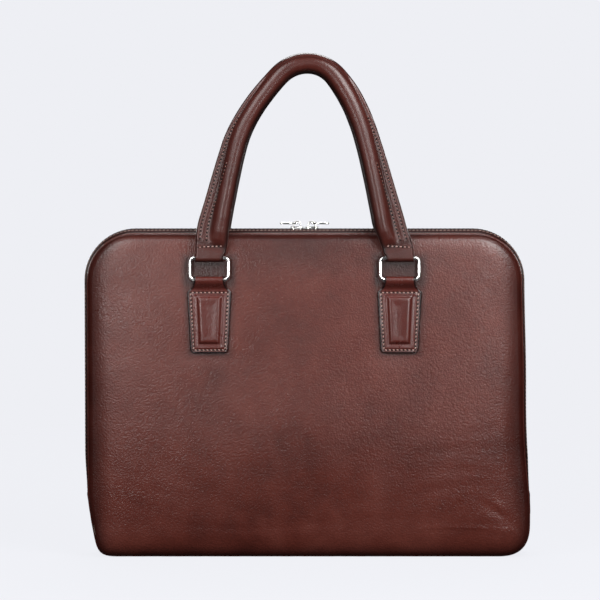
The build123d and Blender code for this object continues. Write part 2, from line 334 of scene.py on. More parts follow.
# ---- Materials
class Nodes:
    """A material's node tree, with short calls for the nodes used here."""

    def __init__(self, name):
        self.material = bpy.data.materials.new(name)
        self.material.use_nodes = True
        self.tree = self.material.node_tree
        self.shader = self.tree.nodes["Principled BSDF"]
        self.space = self.tree.nodes.new("ShaderNodeTexCoord").outputs["Object"]

    def put(self, value, socket):
        """Links an output to a socket, or sets the socket to a number or a colour."""
        if isinstance(value, bpy.types.NodeSocket):
            self.tree.links.new(value, socket)
        elif isinstance(value, tuple):
            socket.default_value = (*value, 1)
        else:
            socket.default_value = value

    def add(self, kind, **inputs):
        node = self.tree.nodes.new(kind)
        for key, value in inputs.items():
            self.put(value, node.inputs[key.replace("_", " ")])
        return node

    def noise(self, scale, detail=2.0, roughness=0.5):
        return self.add("ShaderNodeTexNoise", Vector=self.space, Scale=scale, Detail=detail,
                        Roughness=roughness).outputs["Fac"]

    def cells(self, scale):
        return self.add("ShaderNodeTexVoronoi", Vector=self.space, Scale=scale).outputs["Distance"]

    def wave(self, scale, distortion=0.0, direction="X"):
        node = self.add("ShaderNodeTexWave", Vector=self.space, Scale=scale, Distortion=distortion)
        node.bands_direction = direction
        return node.outputs["Fac"]

    def math(self, operation, first, second):
        node = self.tree.nodes.new("ShaderNodeMath")
        node.operation = operation
        self.put(first, node.inputs[0])
        self.put(second, node.inputs[1])
        return node.outputs[0]

    def blend(self, *parts):
        """The sum of (value, weight) pairs."""
        scaled = [self.math("MULTIPLY", value, weight) for value, weight in parts]
        total = scaled[0]
        for part in scaled[1:]:
            total = self.math("ADD", total, part)
        return total

    def span(self, value, low, high, to_low=0.0, to_high=1.0):
        return self.add("ShaderNodeMapRange", Value=value, From_Min=low, From_Max=high,
                        To_Min=to_low, To_Max=to_high).outputs["Result"]

    def ramp(self, value, *stops):
        node = self.add("ShaderNodeValToRGB", Fac=value)
        elements = node.color_ramp.elements
        while len(elements) < len(stops):
            elements.new(0.5)
        for element, (position, colour) in zip(elements, stops):
            element.position = position
            element.color = (*colour, 1)
        return node.outputs["Color"]

    def mix(self, amount, first, second, kind="MIX"):
        node = self.tree.nodes.new("ShaderNodeMix")
        node.data_type = "RGBA"
        node.blend_type = kind
        for number, value in ((0, amount), (6, first), (7, second)):
            self.put(value, node.inputs[number])
        return node.outputs[2]

    def bump(self, height, strength, distance, normal=None):
        node = self.add("ShaderNodeBump", Height=height, Strength=strength, Distance=distance)
        if normal:
            self.put(normal, node.inputs["Normal"])
        return node.outputs["Normal"]

    def attribute(self, name):
        node = self.tree.nodes.new("ShaderNodeAttribute")
        node.attribute_name = name
        return node.outputs["Fac"]

    def finish(self, colour, roughness, normal=None, **constants):
        self.put(colour, self.shader.inputs["Base Color"])
        self.put(roughness, self.shader.inputs["Roughness"])
        if normal:
            self.put(normal, self.shader.inputs["Normal"])
        for key, value in constants.items():
            self.put(value, self.shader.inputs[key.replace("_", " ")])
        return self.material


def leather(name, dark, mid, light, grain=1.0, gloss=0.31, edge_paint_and_shade_colour=(0.024, 0.0040, 0.0028),
            specular=0.42):
    """Polished full-grain cowhide: mottled dye and fine pebble grain, darkened by the edge
    attribute: edge paint on cut edges and painted shade on the rest.
    """
    n = Nodes(name)
    mottle = n.blend((n.noise(14.0, 4.0, 0.55), 0.65), (n.noise(60.0, 5.0, 0.6), 0.35))
    colour = n.ramp(mottle, (0.30, dark), (0.50, mid), (0.72, light))
    pebbles = n.cells(620.0)
    height = n.blend((pebbles, -0.8), (n.noise(420.0, 3.0, 0.6), 0.8), (n.cells(1150.0), -0.35))
    speck = n.span(pebbles, 0.15, 0.7, 1.0, 0.86)
    colour = n.mix(1.0, colour, n.ramp(speck, (0.0, (0, 0, 0)), (1.0, (1, 1, 1))), "MULTIPLY")
    patchy = n.span(n.noise(35.0, 3.0), 0.3, 0.7, 0.75, 1.0)
    # The edge attribute darkens the colour: edge paint on cut edges, painted shade on the rest.
    edge_paint_and_shade_mix = n.math("MULTIPLY", n.attribute("edge"), patchy)
    colour = n.mix(edge_paint_and_shade_mix, colour, edge_paint_and_shade_colour)
    rough = n.span(n.noise(26.0, 5.0, 0.6), 0.3, 0.7, gloss - 0.04, gloss + 0.06)
    soft = n.bump(n.noise(75.0, 3.0, 0.5), 0.06, 0.003)
    normal = n.bump(height, 0.46 * grain, 0.00045, soft)
    return n.finish(colour, rough, normal, Specular_IOR_Level=specular,
                    Coat_Weight=0.16 * specular, Coat_Roughness=0.30)


def thread(name, colour):
    """Twisted thread."""
    n = Nodes(name)
    tint = n.mix(n.noise(300.0), tuple(c * 0.72 for c in colour), colour)
    return n.finish(tint, 0.55, n.bump(n.wave(900.0), 0.4, 0.0002), Sheen_Weight=0.3)


def metal(name, tint, rough, edge=(1, 1, 1)):
    """Metal; a dark edge tint keeps a blackened one dark where it is seen edge on."""
    n = Nodes(name)
    haze = n.span(n.noise(55.0, 4.0), 0.3, 0.7, rough * 0.7, rough * 1.5)
    normal = n.bump(n.noise(260.0, 2.0), 0.03, 0.0001)
    colour = n.mix(n.noise(30.0, 3.0), tuple(c * 0.9 for c in tint), tint)
    return n.finish(colour, haze, normal, Metallic=1.0, Specular_Tint=edge)


def fabric(name, dark, light, pitch, sheen=0.25, specular=0.5):
    """A twill weave: diagonal ribs crossed by fine threads, in object space."""
    n = Nodes(name)
    height = n.blend((n.wave(1 / pitch, 0.6, "DIAGONAL"), 0.7), (n.cells(2.2 / pitch), 0.5))
    colour = n.mix(height, dark, light)
    colour = n.mix(n.span(n.noise(20.0, 4.0), 0.3, 0.7, 0.0, 0.35), colour, dark)
    return n.finish(colour, 0.85, n.bump(height, 0.5, pitch * 0.25), Sheen_Weight=sheen,
                    Specular_IOR_Level=specular)


DYE = ((0.062, 0.0112, 0.0074), (0.100, 0.0195, 0.0127), (0.140, 0.033, 0.0230))
HIDE = leather("brown_hide", *DYE)
# The handle's near-black last colour is its painted shade.
HANDLE_HIDE = leather("handle_hide", (0.042, 0.0078, 0.0054), (0.064, 0.0118, 0.0080),
                      (0.085, 0.017, 0.012), 0.35, 0.34, (0.006, 0.0020, 0.0016), 0.42)
# The tab's near-black last colour is its edge paint and its painted shade.
TAB_HIDE = leather("tab_hide", (0.058, 0.0095, 0.0068), (0.086, 0.0150, 0.0105),
                   (0.112, 0.022, 0.017), 0.4, 0.26, (0.003, 0.0016, 0.0014), 0.64)
TURN_HIDE = leather("brown_hide_turn", *DYE, specular=0.22)
# Near-black leather for the marks between stitches: painted shade where the needle went through.
HOLE_SHADE = leather("needle_hole_painted_shade", (0.004, 0.002, 0.0016), (0.006, 0.003, 0.0025),
                     (0.009, 0.005, 0.004), 0.4, 0.5, specular=0.25)
BAND_HIDE = leather("gusset_hide", (0.018, 0.0046, 0.0038), (0.026, 0.0066, 0.0052),
                    (0.036, 0.010, 0.008), 0.8, 0.55, specular=0.02)
THREAD = thread("stitch_thread", (0.50, 0.31, 0.26))
HANDLE_THREAD = thread("handle_thread", (0.26, 0.125, 0.10))
NICKEL = metal("polished_nickel", (0.92, 0.91, 0.90), 0.17)
GUNMETAL = metal("dark_teeth", (0.055, 0.050, 0.048), 0.34, (0.15, 0.14, 0.14))
TAPE_CLOTH = fabric("zip_tape_weave", (0.012, 0.009, 0.009), (0.035, 0.028, 0.027), 0.0009,
                    sheen=0.0, specular=0.1)
LINING_CLOTH = fabric("lining_twill", (0.085, 0.060, 0.042), (0.16, 0.12, 0.085), 0.0012)
FOAM = fabric("foam", (0.30, 0.28, 0.25), (0.45, 0.42, 0.38), 0.002)
BOARD = fabric("fibre_board", (0.16, 0.12, 0.08), (0.26, 0.20, 0.14), 0.003)


# ---- Stitches
def stitches(name, centres, along, normals, length=2.5, width=0.72, slant=12.0, slumps=False,
             material=None):
    """Thread stitches lying on a surface, each a small rounded bar sunk at both ends."""
    centres, along, normals = (np.asarray(v, float).reshape(-1, 3)
                               for v in (centres, along, normals))
    along, normals = unit(along), unit(normals)
    turn = math.radians(slant)
    heading = along * math.cos(turn) + np.cross(normals, along) * math.sin(turn)
    side = np.cross(normals, heading)
    rings, sides = 5, 6
    t = np.linspace(-1, 1, rings)
    girth = np.array([0.35, 0.85, 1.0, 0.85, 0.35]) * width / 2
    sink = np.array([-0.42, 0.02, 0.12, 0.02, -0.42]) * width
    angle = around(sides)
    points = centres[:, None, None] + heading[:, None, None] * (t * length / 2)[None, :, None, None]
    points = points + side[:, None, None] * (girth[:, None] * np.cos(angle))[None, :, :, None]
    lift = girth[:, None] * np.sin(angle) * 0.8 + sink[:, None]
    points = points + normals[:, None, None] * lift[None, :, :, None]
    faces = []
    for start in range(0, len(centres) * rings * sides, rings * sides):
        faces += tube_faces(rings, sides, start)
    return make_mesh(name, points, faces, material or THREAD, slumps=slumps)


def seam_row(name, line, normals, pitch, length, width, slant, material=None, hole=1.7):
    """A row of stitches along a line with its normals, and near-black marks between them: painted
    shade where the needle went through.
    """
    line, normals = np.asarray(line, float), np.asarray(normals, float)
    centres, along = evenly(line, pitch)
    pick = ((centres[:, None] - line[None]) ** 2).sum(-1).argmin(1)
    faces = normals[pick] if normals.ndim == 2 else np.tile(normals, (len(centres), 1))
    row = stitches(name, centres, along, faces, length, width, slant, material=material)
    # Near-black marks sunk between the stitches: painted shade where the needle went through.
    between = centres + unit(along) * pitch / 2 - 0.05 * unit(faces)
    hole_shade_marks = stitches(f"{name}_holes", between, along, faces, pitch - length + 0.5, width * hole,
                     0.0, material=HOLE_SHADE)
    return [row, hole_shade_marks]


def lengths_along(line):
    """The distance of each of a line's points from its first."""
    steps = np.linalg.norm(np.diff(line, axis=0), axis=1)
    return np.concatenate([[0], np.cumsum(steps)])


def at_lengths(line, lengths, wanted):
    return np.stack([np.interp(wanted, lengths, column) for column in line.T], -1)


def evenly(line, pitch):
    """Centres and headings at an even pitch along a line of points."""
    line = np.asarray(line, float)
    s = lengths_along(line)
    count = max(2, int(s[-1] / pitch))
    at = (np.arange(count) + 0.5) * s[-1] / count
    return at_lengths(line, s, at), at_lengths(line, s, at + 0.4) - at_lengths(line, s, at - 0.4)


def flat_row(name, xs, ys, zs, pitch, facing, length, width, slant):
    """A row of stitches along a line on a surface that faces forwards (-1) or back (1)."""
    line = np.column_stack(np.broadcast_arrays(xs, ys, zs))
    return stitches(name, *evenly(line, pitch), np.array([[0, facing, 0]]), length, width, slant)


# ---- Panels
CREASES = (
    # x, z, direction in degrees, half length, half width, depth
    (128, 96, 8, 34, 4.0, 0.26), (140, 78, -4, 30, 3.5, 0.22), (118, 62, 10, 36, 4.5, 0.26),
    (150, 112, 14, 22, 3.5, 0.20), (-140, 60, -12, 30, 4.5, 0.16), (-120, 44, -6, 34, 5.0, 0.14),
    (-150, 246, 40, 20, 5.0, 0.12), (152, 244, -42, 20, 5.0, 0.12), (60, 36, 3, 50, 4.5, 0.20),
    (158, 30, -4, 34, 2.6, 0.30), (140, 24, -3, 40, 2.4, 0.26), (150, 18.5, -2, 36, 2.2, 0.22),
    (163, 40, -40, 16, 3.4, 1.0), (176, 30, -58, 14, 3.0, 0.9), (-60, 26, -2, 60, 4.0, 0.14),
)


def relief(x, z, seed):
    """How far the panel's leather stands out from its even dome, in millimetres."""
    points = np.stack([x, np.full_like(x, seed * 30.0), z], -1)
    out = 0.40 * noise_at(points, 95.0, seed) + 0.16 * noise_at(points, 34.0, seed + 1)
    out += 0.05 * noise_at(points, 13.0, seed + 2)
    for cx, cz, direction, length, width, depth in CREASES:
        a = math.radians(direction)
        u = (x - cx) * math.cos(a) + (z - cz) * math.sin(a)
        bend = 0.0016 * u * u * (1 if cx > 0 else -1)
        v = -(x - cx) * math.sin(a) + (z - cz) * math.cos(a) + bend
        fade = np.exp(-((u / length) ** 2))
        out += depth * fade * (0.6 * bump(v, width, width) - bump(v, 0, width * 0.8))
    belly = 3.4 * bump(x, 0, 160) * bump(z, 88, 66)
    tabs = sum(bump(x, side * RING_X, 26) for side in (-1, 1)) * smooth(z, 165, 180)
    return (out + belly) * np.clip(1 - tabs, 0, 1)


def dome(distance):
    """How far out the panel stands at a distance inside the piping: a quarter turn, softened,
    that goes on rising gently towards the middle."""
    t = np.clip(distance / 21.0, 0, 1)
    return 0.85 * (1 - (1 - t) ** 2.3) ** 0.62 + 0.15 * smooth(distance, 4, 46)


def panel_loop(inset, half_arc=8, top_steps=84, side_steps=62):
    """The outline pulled in by inset as four sides that meet at mid corner, clockwise from
    the lower left: left, top, right, bottom."""
    sides, start = [], RUN_BASE + ARC_LOW
    for run, arc_before, arc_after, steps in (
            (RUN_SIDE, ARC_LOW, ARC_TOP, side_steps), (RUN_TOP, ARC_TOP, ARC_TOP, top_steps),
            (RUN_SIDE, ARC_TOP, ARC_LOW, side_steps), (2 * RUN_BASE, ARC_LOW, ARC_LOW, top_steps)):
        before = start - np.linspace(arc_before / 2, 0, half_arc, endpoint=False)
        along = start + np.linspace(0, run, steps, endpoint=False)
        after = start + run + np.linspace(0, arc_after / 2, half_arc, endpoint=False)
        points, normals = outline(np.concatenate([before, along, after]))
        sides.append(points - normals * inset)
        start += run + arc_after
    return sides


def patch(sides):
    """A grid of (x, z) points inside four sides, by blending opposite ones."""
    left, top, right, bottom = sides
    left = np.vstack([left, top[:1]])
    top = np.vstack([top, right[:1]])
    right = np.vstack([right, bottom[:1]])[::-1]
    bottom = np.vstack([bottom, left[:1]])[::-1]
    u = np.linspace(0, 1, len(top))[None, :, None]
    v = np.linspace(0, 1, len(left))[:, None, None]
    across = left[:, None] * (1 - u) + right[:, None] * u
    along = bottom[None] * (1 - v) + top[None] * v
    corners = ((1 - u) * (1 - v) * bottom[0] + u * (1 - v) * bottom[-1]
               + (1 - u) * v * top[0] + u * v * top[-1])
    return across + along - corners


def pan(loops, face, depth):
    """Points and faces of nested loops, closed by a patch's (x, z) points at their depths."""
    rows, columns = face.shape[:2]
    count = len(loops[0])
    start = len(loops) * count
    rim = [start + r * columns for r in range(rows - 1)]
    rim += [start + (rows - 1) * columns + c for c in range(columns - 1)]
    rim += [start + r * columns + columns - 1 for r in range(rows - 1, 0, -1)]
    rim += [start + c for c in range(columns - 1, 0, -1)]
    faces = grid_faces(len(loops), count, wrap_columns=True)
    for k in range(count):
        n = (k + 1) % count
        faces.append((start - count + k, rim[k], rim[n], start - count + n))
    faces += [quad[::-1] for quad in grid_faces(rows, columns, start=start)]
    inner = np.column_stack([face[..., 0].ravel(), depth.ravel(), face[..., 1].ravel()])
    return np.vstack([*loops, inner]), faces


def panel_painted_shade(x, z):
    """How dark the panel is painted, all of it painted shade: a wide band along its sides and a
    narrow one along its top, where its dome turns from the lights, a painted shadow round its
    tabs that is darkest inside the rings, and painted shade between the handles."""
    distance = edge_distance(x, z)
    nearer_side = (TOP_Z - z) - (HALF_W - np.abs(x))
    width = 9.0 + 14.0 * smooth(nearer_side, -25, 25) * smooth(z, -20, 60)
    # Painted shade along the edge: wide at the sides, narrow at the top.
    rim = 0.95 * (1 - smooth(distance / width, 0.08, 1.0)) ** 1.1
    aside = np.abs(np.abs(x) - RING_X) - np.interp(z, TAB_Z, TAB_W) / 2
    beside = np.maximum(aside, np.maximum(TAB_Z[0] - z, z - TAB_Z[1] - 26))
    # Painted shadow round the tabs, darkest inside the rings above them.
    tab_painted_shadow = (0.60 + 0.37 * smooth(z, TAB_Z[1], TAB_Z[1] + 6)) * (1 - smooth(beside, 0.0, 6.5))
    # Painted shade on the top between the handles.
    between = 0.75 * bump(x, 4, 62) * smooth(z, 232, 276)
    return np.clip(rim + tab_painted_shadow + between, 0, 0.97)


def panel(name, sign, seed):
    """The leather panel: a tucked-in edge, the turn over the piping, and the broad face."""
    insets = [4.5, 2.6, 1.5, 1.15, 1.2, 1.6, 2.4, 3.6, 5.2, 7.2, 9.6, 12.4, 15.6, 19.0, 22.2]
    tuck = [23.0, 22.9, 23.1, 23.5]
    core_inset, turn_loops = 25.0, 8
    rise = PANEL_Y - PANEL_EDGE_Y
    loops, edge_paint_and_shade = [], []
    for k, inset in enumerate(insets):
        x, z = np.vstack(panel_loop(inset)).T
        y = tuck[k] if k < len(tuck) else PANEL_EDGE_Y + rise * dome(inset - 1.2)
        loops.append(np.column_stack([x, np.full(len(x), y), z]))
        # Painted shade over the face, and full painted shade on the tucked edge and in the crease
        # beside the piping.
        edge_paint_and_shade.append(panel_painted_shade(x, z) if inset > 2 else np.ones(len(x)))
    face = patch(panel_loop(core_inset))
    x, z = face[..., 0], face[..., 1]
    points, faces = pan(loops, face, PANEL_EDGE_Y + rise * dome(edge_distance(x, z) - 1.2))
    distance = edge_distance(points[:, 0], points[:, 2])
    points[:, 1] += relief(points[:, 0], points[:, 2], seed) * smooth(distance, 5, 24)
    points[:, 1] *= sign
    edge_paint_and_shade.append(panel_painted_shade(x, z).ravel())
    obj = make_mesh(name, points, faces, HIDE, np.concatenate(edge_paint_and_shade))
    obj.data.materials.append(TURN_HIDE)
    for polygon in list(obj.data.polygons)[:turn_loops * len(loops[0])]:
        polygon.material_index = 1
    return thicken(fix_normals(obj), 0.8, -1.0)


for name, sign, body in HALVES:
    skin = panel(f"{name}_panel_leather", sign, 3 if name == "front" else 8)
    place(skin, body, "brown_leather", f"{name}_panel")


# ---- Piping
def piping(name, sign):
    """A leather bead all round the panel, uneven as stretched leather is, painted dark all round
    as painted shade but for a band on the side that faces the lights."""
    s = np.arange(0, AROUND, 2.2)
    angle = around(12)
    radius = PIPING_R + 0.15
    points = follow(s, radius * np.cos(angle) - PIPING_INSET, radius * np.sin(angle) + PIPING_Y)
    centre = follow(s, [-PIPING_INSET], [PIPING_Y])
    points = centre + (points - centre) * (1 + 0.06 * noise_at(centre, 9.0, 4))[..., None]
    points[..., 1] *= sign
    # Painted shade all round the bead but on its side towards the lights.
    edge_paint_and_shade = np.tile(0.95 - 0.95 * bump(angle, math.radians(62), math.radians(42)), (len(s), 1))
    return solid(name, points, HIDE, edge_paint_and_shade, wrap=(True, True), slumps=True)


# ---- Gusset
SEAM_Y = PIPING_Y - 0.6
FACING_EDGE_Y = 10.6


def zip_rise(s):
    """How far the zip stands up: fully, but for its last stretch down to its ends."""
    from_end = np.minimum(s - ZIP_START, AROUND - ZIP_START - s)
    return 0.30 + 0.70 * smooth(from_end, 0, 42)


def strip(name, s, section, material, sign, edge_paint_and_shade=None, sway=0.15):
    """A closed section of (outset, y) carried along the outline, with a little sway."""
    outs, ys = np.array(section, float).T
    points = follow(s, outs, ys)
    centre = follow(s, [outs.mean()], [ys.mean()])
    outward = outline(s)[1]
    sunk = np.maximum(outs, 0)[None] * (1 - zip_rise(s))[:, None]
    points[..., [0, 2]] -= outward[:, None] * sunk[..., None]
    points[..., 1] += sway * noise_at(centre, 26.0, 2)
    points[..., 1] *= sign
    edge = None if edge_paint_and_shade is None else np.tile(edge_paint_and_shade, (len(s), 1))
    return solid(name, points, material, edge, slumps=True)


def zip_stations(step=2.4, trim=0.0):
    count = int((AROUND - 2 * ZIP_START) / step)
    return np.linspace(ZIP_START + trim, AROUND - ZIP_START - trim, count)


def gusset_facing(name, sign):
    """The leather between the piping and the zip, with its edge turned under and stitched."""
    edge_out = CROWN - 0.6
    section = [(-PIPING_INSET + 0.4, SEAM_Y + 0.4), (-PIPING_INSET + 1.3, SEAM_Y - 0.8),
               (-0.2, 18.6), (0.7, 16.4), (1.5, 14.6), (1.75, 13.6), (2.15, 12.6),
               (edge_out - 0.15, 11.4), (edge_out + 0.05, FACING_EDGE_Y + 0.4),
               (edge_out - 0.25, FACING_EDGE_Y - 0.1), (edge_out - 0.9, FACING_EDGE_Y + 0.1),
               (edge_out - 1.3, FACING_EDGE_Y + 1.2), (0.6, 14.0), (-0.9, 17.0),
               (-PIPING_INSET - 0.9, SEAM_Y)]
    # Darker at the seam by the piping, in the stitch groove and round the turned edge: painted
    # shade. The hidden underside is fully dark.
    edge_paint_and_shade = [1.0, 0.7, 0.3, 0.15, 0.15, 0.4, 0.15, 0.15, 0.5, 0.9, 1, 1, 1, 1, 1]
    skin = strip(name, zip_stations(), section, BAND_HIDE, sign, edge_paint_and_shade)
    seam_out, seam_y, trim = 2.0, 13.4, 3.0
    line = follow(zip_stations(1.5, trim), [seam_out], [seam_y])[:, 0]
    line[:, 1] *= sign
    centres, along = evenly(line, 3.4)
    outward = edge_outward(centres)
    s = np.linspace(ZIP_START + trim, AROUND - ZIP_START - trim, len(centres))
    sunk = seam_out * (1 - zip_rise(s))
    row = stitches(f"{name}_stitches", centres - outward * sunk[:, None], along, outward, 2.5, 0.6,
                   slumps=True)
    return join(name, [skin, row])


def edge_outward(points):
    """The outline's outward direction beside each point, in three dimensions."""
    s = np.linspace(0, AROUND, 2400, endpoint=False)
    ring, normals = outline(s)
    near = ((points[:, None, 0] - ring[None, :, 0]) ** 2
            + (points[:, None, 2] - ring[None, :, 1]) ** 2).argmin(1)
    out = np.zeros((len(points), 3))
    out[:, 0], out[:, 2] = normals[near].T
    return out


def zip_tape(name, sign):
    section = [(0.95, 13.4), (0.95, 10.0), (1.0, 7.0), (1.15, 5.2), (1.3, 4.2), (1.5, 3.3),
               (1.1, 2.9), (0.6, 3.2), (0.4, 5.0), (0.3, 7.0), (0.3, 10.0), (0.3, 13.4)]
    return strip(name, zip_stations(), section, TAPE_CLOTH, sign, sway=0.0)


TOOTH_PITCH = 4.0


def zip_teeth(name, sign):
    """One side's metal teeth. The two sides' teeth alternate and reach past the middle."""
    s = np.arange(ZIP_START + 2, AROUND - ZIP_START - 2, TOOTH_PITCH)
    s = s + (TOOTH_PITCH / 2 if sign > 0 else 0.0)
    low = 0.35
    mid, half = (low + CROWN) / 2, (CROWN - low) / 2
    # y, half thickness along the chain, half height
    shape = [(3.9, 0.75, half * 0.85), (3.2, 0.98, half), (1.6, 0.98, half),
             (0.9, 0.85, half * 0.8), (0.2, 0.85, half * 0.8), (-0.6, 1.05, half * 0.86),
             (-1.2, 0.8, half * 0.6)]
    corners = [(1, 0.35), (0.62, 0.88), (0, 1), (-0.62, 0.88), (-1, 0.35), (-1, -0.72), (0, -1),
               (1, -0.72)]
    points, normals = outline(s)
    tangents = np.stack([normals[:, 1], -normals[:, 0]], -1)
    verts, faces = [], []
    for point, tangent, normal, rise in zip(points, tangents, normals, zip_rise(s)):
        faces += tube_faces(len(shape), len(corners), len(verts))
        for y, thick, tall in shape:
            for a, b in corners:
                x, z = point + tangent * thick * a + normal * (mid + tall * b) * rise
                verts.append((x, y * sign, z))
    return fix_normals(make_mesh(name, verts, faces, GUNMETAL))


def fold_with_front(obj):
    """Bakes the piece's placement into its points."""
    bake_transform(obj)


def base_gusset():
    """The leather under the case, up to the ends of the zip on both sides."""
    s = np.linspace(-BASE_END, BASE_END, 260)
    half, steps = SEAM_Y + 0.2, 15
    ys = np.concatenate([np.linspace(-half, half, steps), np.linspace(half, -half, steps)])
    lift = 0.35 * np.cos(np.linspace(-math.pi / 2, math.pi / 2, steps)) - 0.4
    outs = np.concatenate([lift, np.full(steps, -1.6)])
    outs[[0, steps - 1]] = -1.4
    points = follow(s, outs, ys)
    points[..., 2] = np.maximum(points[..., 2], 0.0)
    # Darker towards both edges, beside the piping.
    edge_paint_and_shade = np.tile(np.abs(ys) / half, (len(s), 1)) ** 6 * 0.8
    obj = solid("base_gusset_leather", points, HIDE, edge_paint_and_shade, slumps=True)
    fold_with_front(obj)
    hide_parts("base_gusset")


def zip_end_tab(name, sign):
    """A stitched patch of leather over the end of the zip, low on the side."""
    half_y, z_low, z_high, thick = 10.0, BASE_TOP_Z - 16, BASE_TOP_Z + 6.0, 0.9
    cy, cz = squarish(around(40), 0.42) * np.array([[half_y], [(z_high - z_low) / 2]])
    loops, edge_paint_and_shade = [], []
    # The dark values: edge paint round the rim, and painted shade in the stitch groove.
    for share, out, dark in ((1.0, 0.0, 1), (1.0, thick * 0.7, 1), (0.96, thick, 0.7),
                             (0.88, thick + 0.15, 0.2), (0.80, thick - 0.05, 0.4),
                             (0.70, thick + 0.2, 0.1), (0.4, thick + 0.35, 0),
                             (0.02, thick + 0.4, 0)):
        z = (z_high + z_low) / 2 + cz * share
        rise = 0.05 + 0.5 * smooth(z, BASE_TOP_Z - 3, BASE_TOP_Z + 5)
        loops.append(np.column_stack([sign * (HALF_W + rise + out), cy * share, z]))
        edge_paint_and_shade.append(np.full(len(z), dark))
    skin = grid(name, np.array(loops), HIDE, np.array(edge_paint_and_shade), wrap=(False, True), caps=True)
    seam = np.vstack([loops[4], loops[4][:1]])
    centres, along = evenly(seam, 3.0)
    outward = np.tile([sign, 0, 0], (len(centres), 1))
    row = stitches(f"{name}_stitches", centres, along, outward, 2.1, 0.6, slumps=True)
    return join(name, [fix_normals(skin), row])


for name, sign, body in HALVES:
    place(piping(f"{name}_piping_leather", sign), body, "brown_leather", f"{name}_piping")
    facing = gusset_facing(f"{name}_gusset_leather", sign)
    place(facing, body, "brown_leather", f"{name}_gusset_facing")
    place(zip_tape(f"{name}_zip_tape_cloth", sign), body, "zip_tape", f"{name}_zip_tape")
    place(zip_teeth(f"{name}_zip_teeth", sign), body, "zip_teeth", f"{name}_zip_chain")
base_gusset()
for name, sign in SIDES:
    end_tab = zip_end_tab(f"{name}_zip_end_patch", sign)
    place(end_tab, "case", "brown_leather", f"{name}_zip_end_tab")


# ---- Handles
# Half the leg's width across, by height, and how far its rope stands up there.
LEG_HEIGHTS = (262.0, 266.0, 270.0, 277.0, 285.0, 294.0, 307.0, 321.0, 335.0, 349.0, 377.0,
               405.0, 425.0, 436.0)
LEG_HALF_WIDTHS = (12.3, 12.6, 13.3, 13.6, 13.8, 13.7, 12.9, 12.2, 11.6, 11.0, 10.0, 9.3, 8.7,
                   8.2)
ROPE_HEIGHTS = (268.0, 273.5, 276.0, 280.0, 287.0, 300.0, 320.0)
ROPE_SHARE = (0.0, 0.0, 0.38, 0.66, 0.86, 0.97, 1.0)
SEAM_INSET = 6.4
# The two rows of stitches beside the seam: how far in they lie, and how high they reach.
ROW_INSETS = (3.7, 9.3)
ROW_TOPS = (384.0, 346.0)
ROW_FOOT = 277.0
CROSS_ROW_Z = 272.5
# How far the loop's leather reaches below the middle of the ring's top bar.
LOOP_DROP = 3.3
# How far the leg and the top of the handle lean to the right.
LEG_SHIFT, APEX_SHIFT = -2.4, 2.6


def centre_line(count=150):
    """The right leg's centre line from the apex: points (x, z) and headings."""
    def turn_point(a):
        return np.array([math.sin(a), math.cos(a)])

    points, headings = [], []
    origin, turned = np.array([0.0, APEX_Z]), 0.0
    total = sum(radius * math.radians(turn) for radius, turn in HANDLE_ARCS) + LEG_RUN
    for radius, turn in HANDLE_ARCS:
        start, end = math.radians(turned), math.radians(turned + turn)
        steps = max(6, int(count * radius * math.radians(turn) / total))
        for a in start + np.linspace(0, math.radians(turn), steps, endpoint=False):
            points.append(origin + radius * (turn_point(a) - turn_point(start)))
            headings.append((math.cos(a), -math.sin(a)))
        origin = origin + radius * (turn_point(end) - turn_point(start))
        turned += turn
    heading = np.array([math.cos(math.radians(turned)), -math.sin(math.radians(turned))])
    for t in np.linspace(0, LEG_RUN, int(count * LEG_RUN / total), endpoint=False):
        points.append(origin + heading * t)
        headings.append(heading)
    foot = origin + heading * LEG_RUN
    for t in np.linspace(0, 1, 9):
        bend = smooth(t, 0, 1)
        reach = np.array([0.35 * t + 0.65 * bend, t])
        points.append(foot + (np.array([RING_X, RING_HIGH_Z]) - foot) * reach)
        headings.append(unit(heading * (1 - bend) + np.array([0.0, -1.0]) * bend))
    return np.array(points), np.array(headings)


def half_width(z):
    """Half the leg's width at height z."""
    return np.interp(z, LEG_HEIGHTS, LEG_HALF_WIDTHS)


def inner_row(z):
    """1 where the inner row of stitches runs, fading to 0 above it."""
    return 1 - smooth(z, 338, 352)


def leg_depth(z, inset):
    """Half the handle's thickness at a distance inside its outer edge, at height z: a round
    rope on the inner side and a flat flange on the outer side."""
    half = half_width(z)
    rope_r = min(half, 7.9 + 0.5 * smooth(z, 400, 432))
    off = inset - (2 * half - rope_r)
    rope = np.sqrt(np.clip(rope_r ** 2 - off ** 2, 0, None))
    rope = rope * np.interp(z, ROPE_HEIGHTS, ROPE_SHARE)
    flat = 1 - smooth(z, 268, 284)
    thick = 2.45 + 0.75 * flat - 0.55 * bump(z, CROSS_ROW_Z, 2.4)
    edge = np.minimum(inset, 2 * half - inset)
    wing = thick * np.sqrt(np.clip(1 - np.clip(1 - edge / 1.5, 0, 1) ** 2, 0, 1))
    depth = (rope ** 4 + wing ** 4) ** 0.25
    seam = 0.50 * bump(inset, seam_inset(z), 0.42)
    rows = bump(inset, ROW_INSETS[0], 0.55) + bump(inset, ROW_INSETS[1], 0.6) * inner_row(z)
    valley = 0.35 * bump(inset, 2 * half - 16.2, 1.6) * (1 - smooth(z, 330, 370))
    return depth + np.minimum(depth, 1) * (seam - 0.26 * rows - valley) * smooth(z, 274, 282)


def seam_inset(z):
    """Where the leather's cut edge lies: it nears the outer edge and turns behind higher up."""
    return SEAM_INSET - 1.3 * smooth(z, 325, 358) - 6.2 * smooth(z, 352, 392)


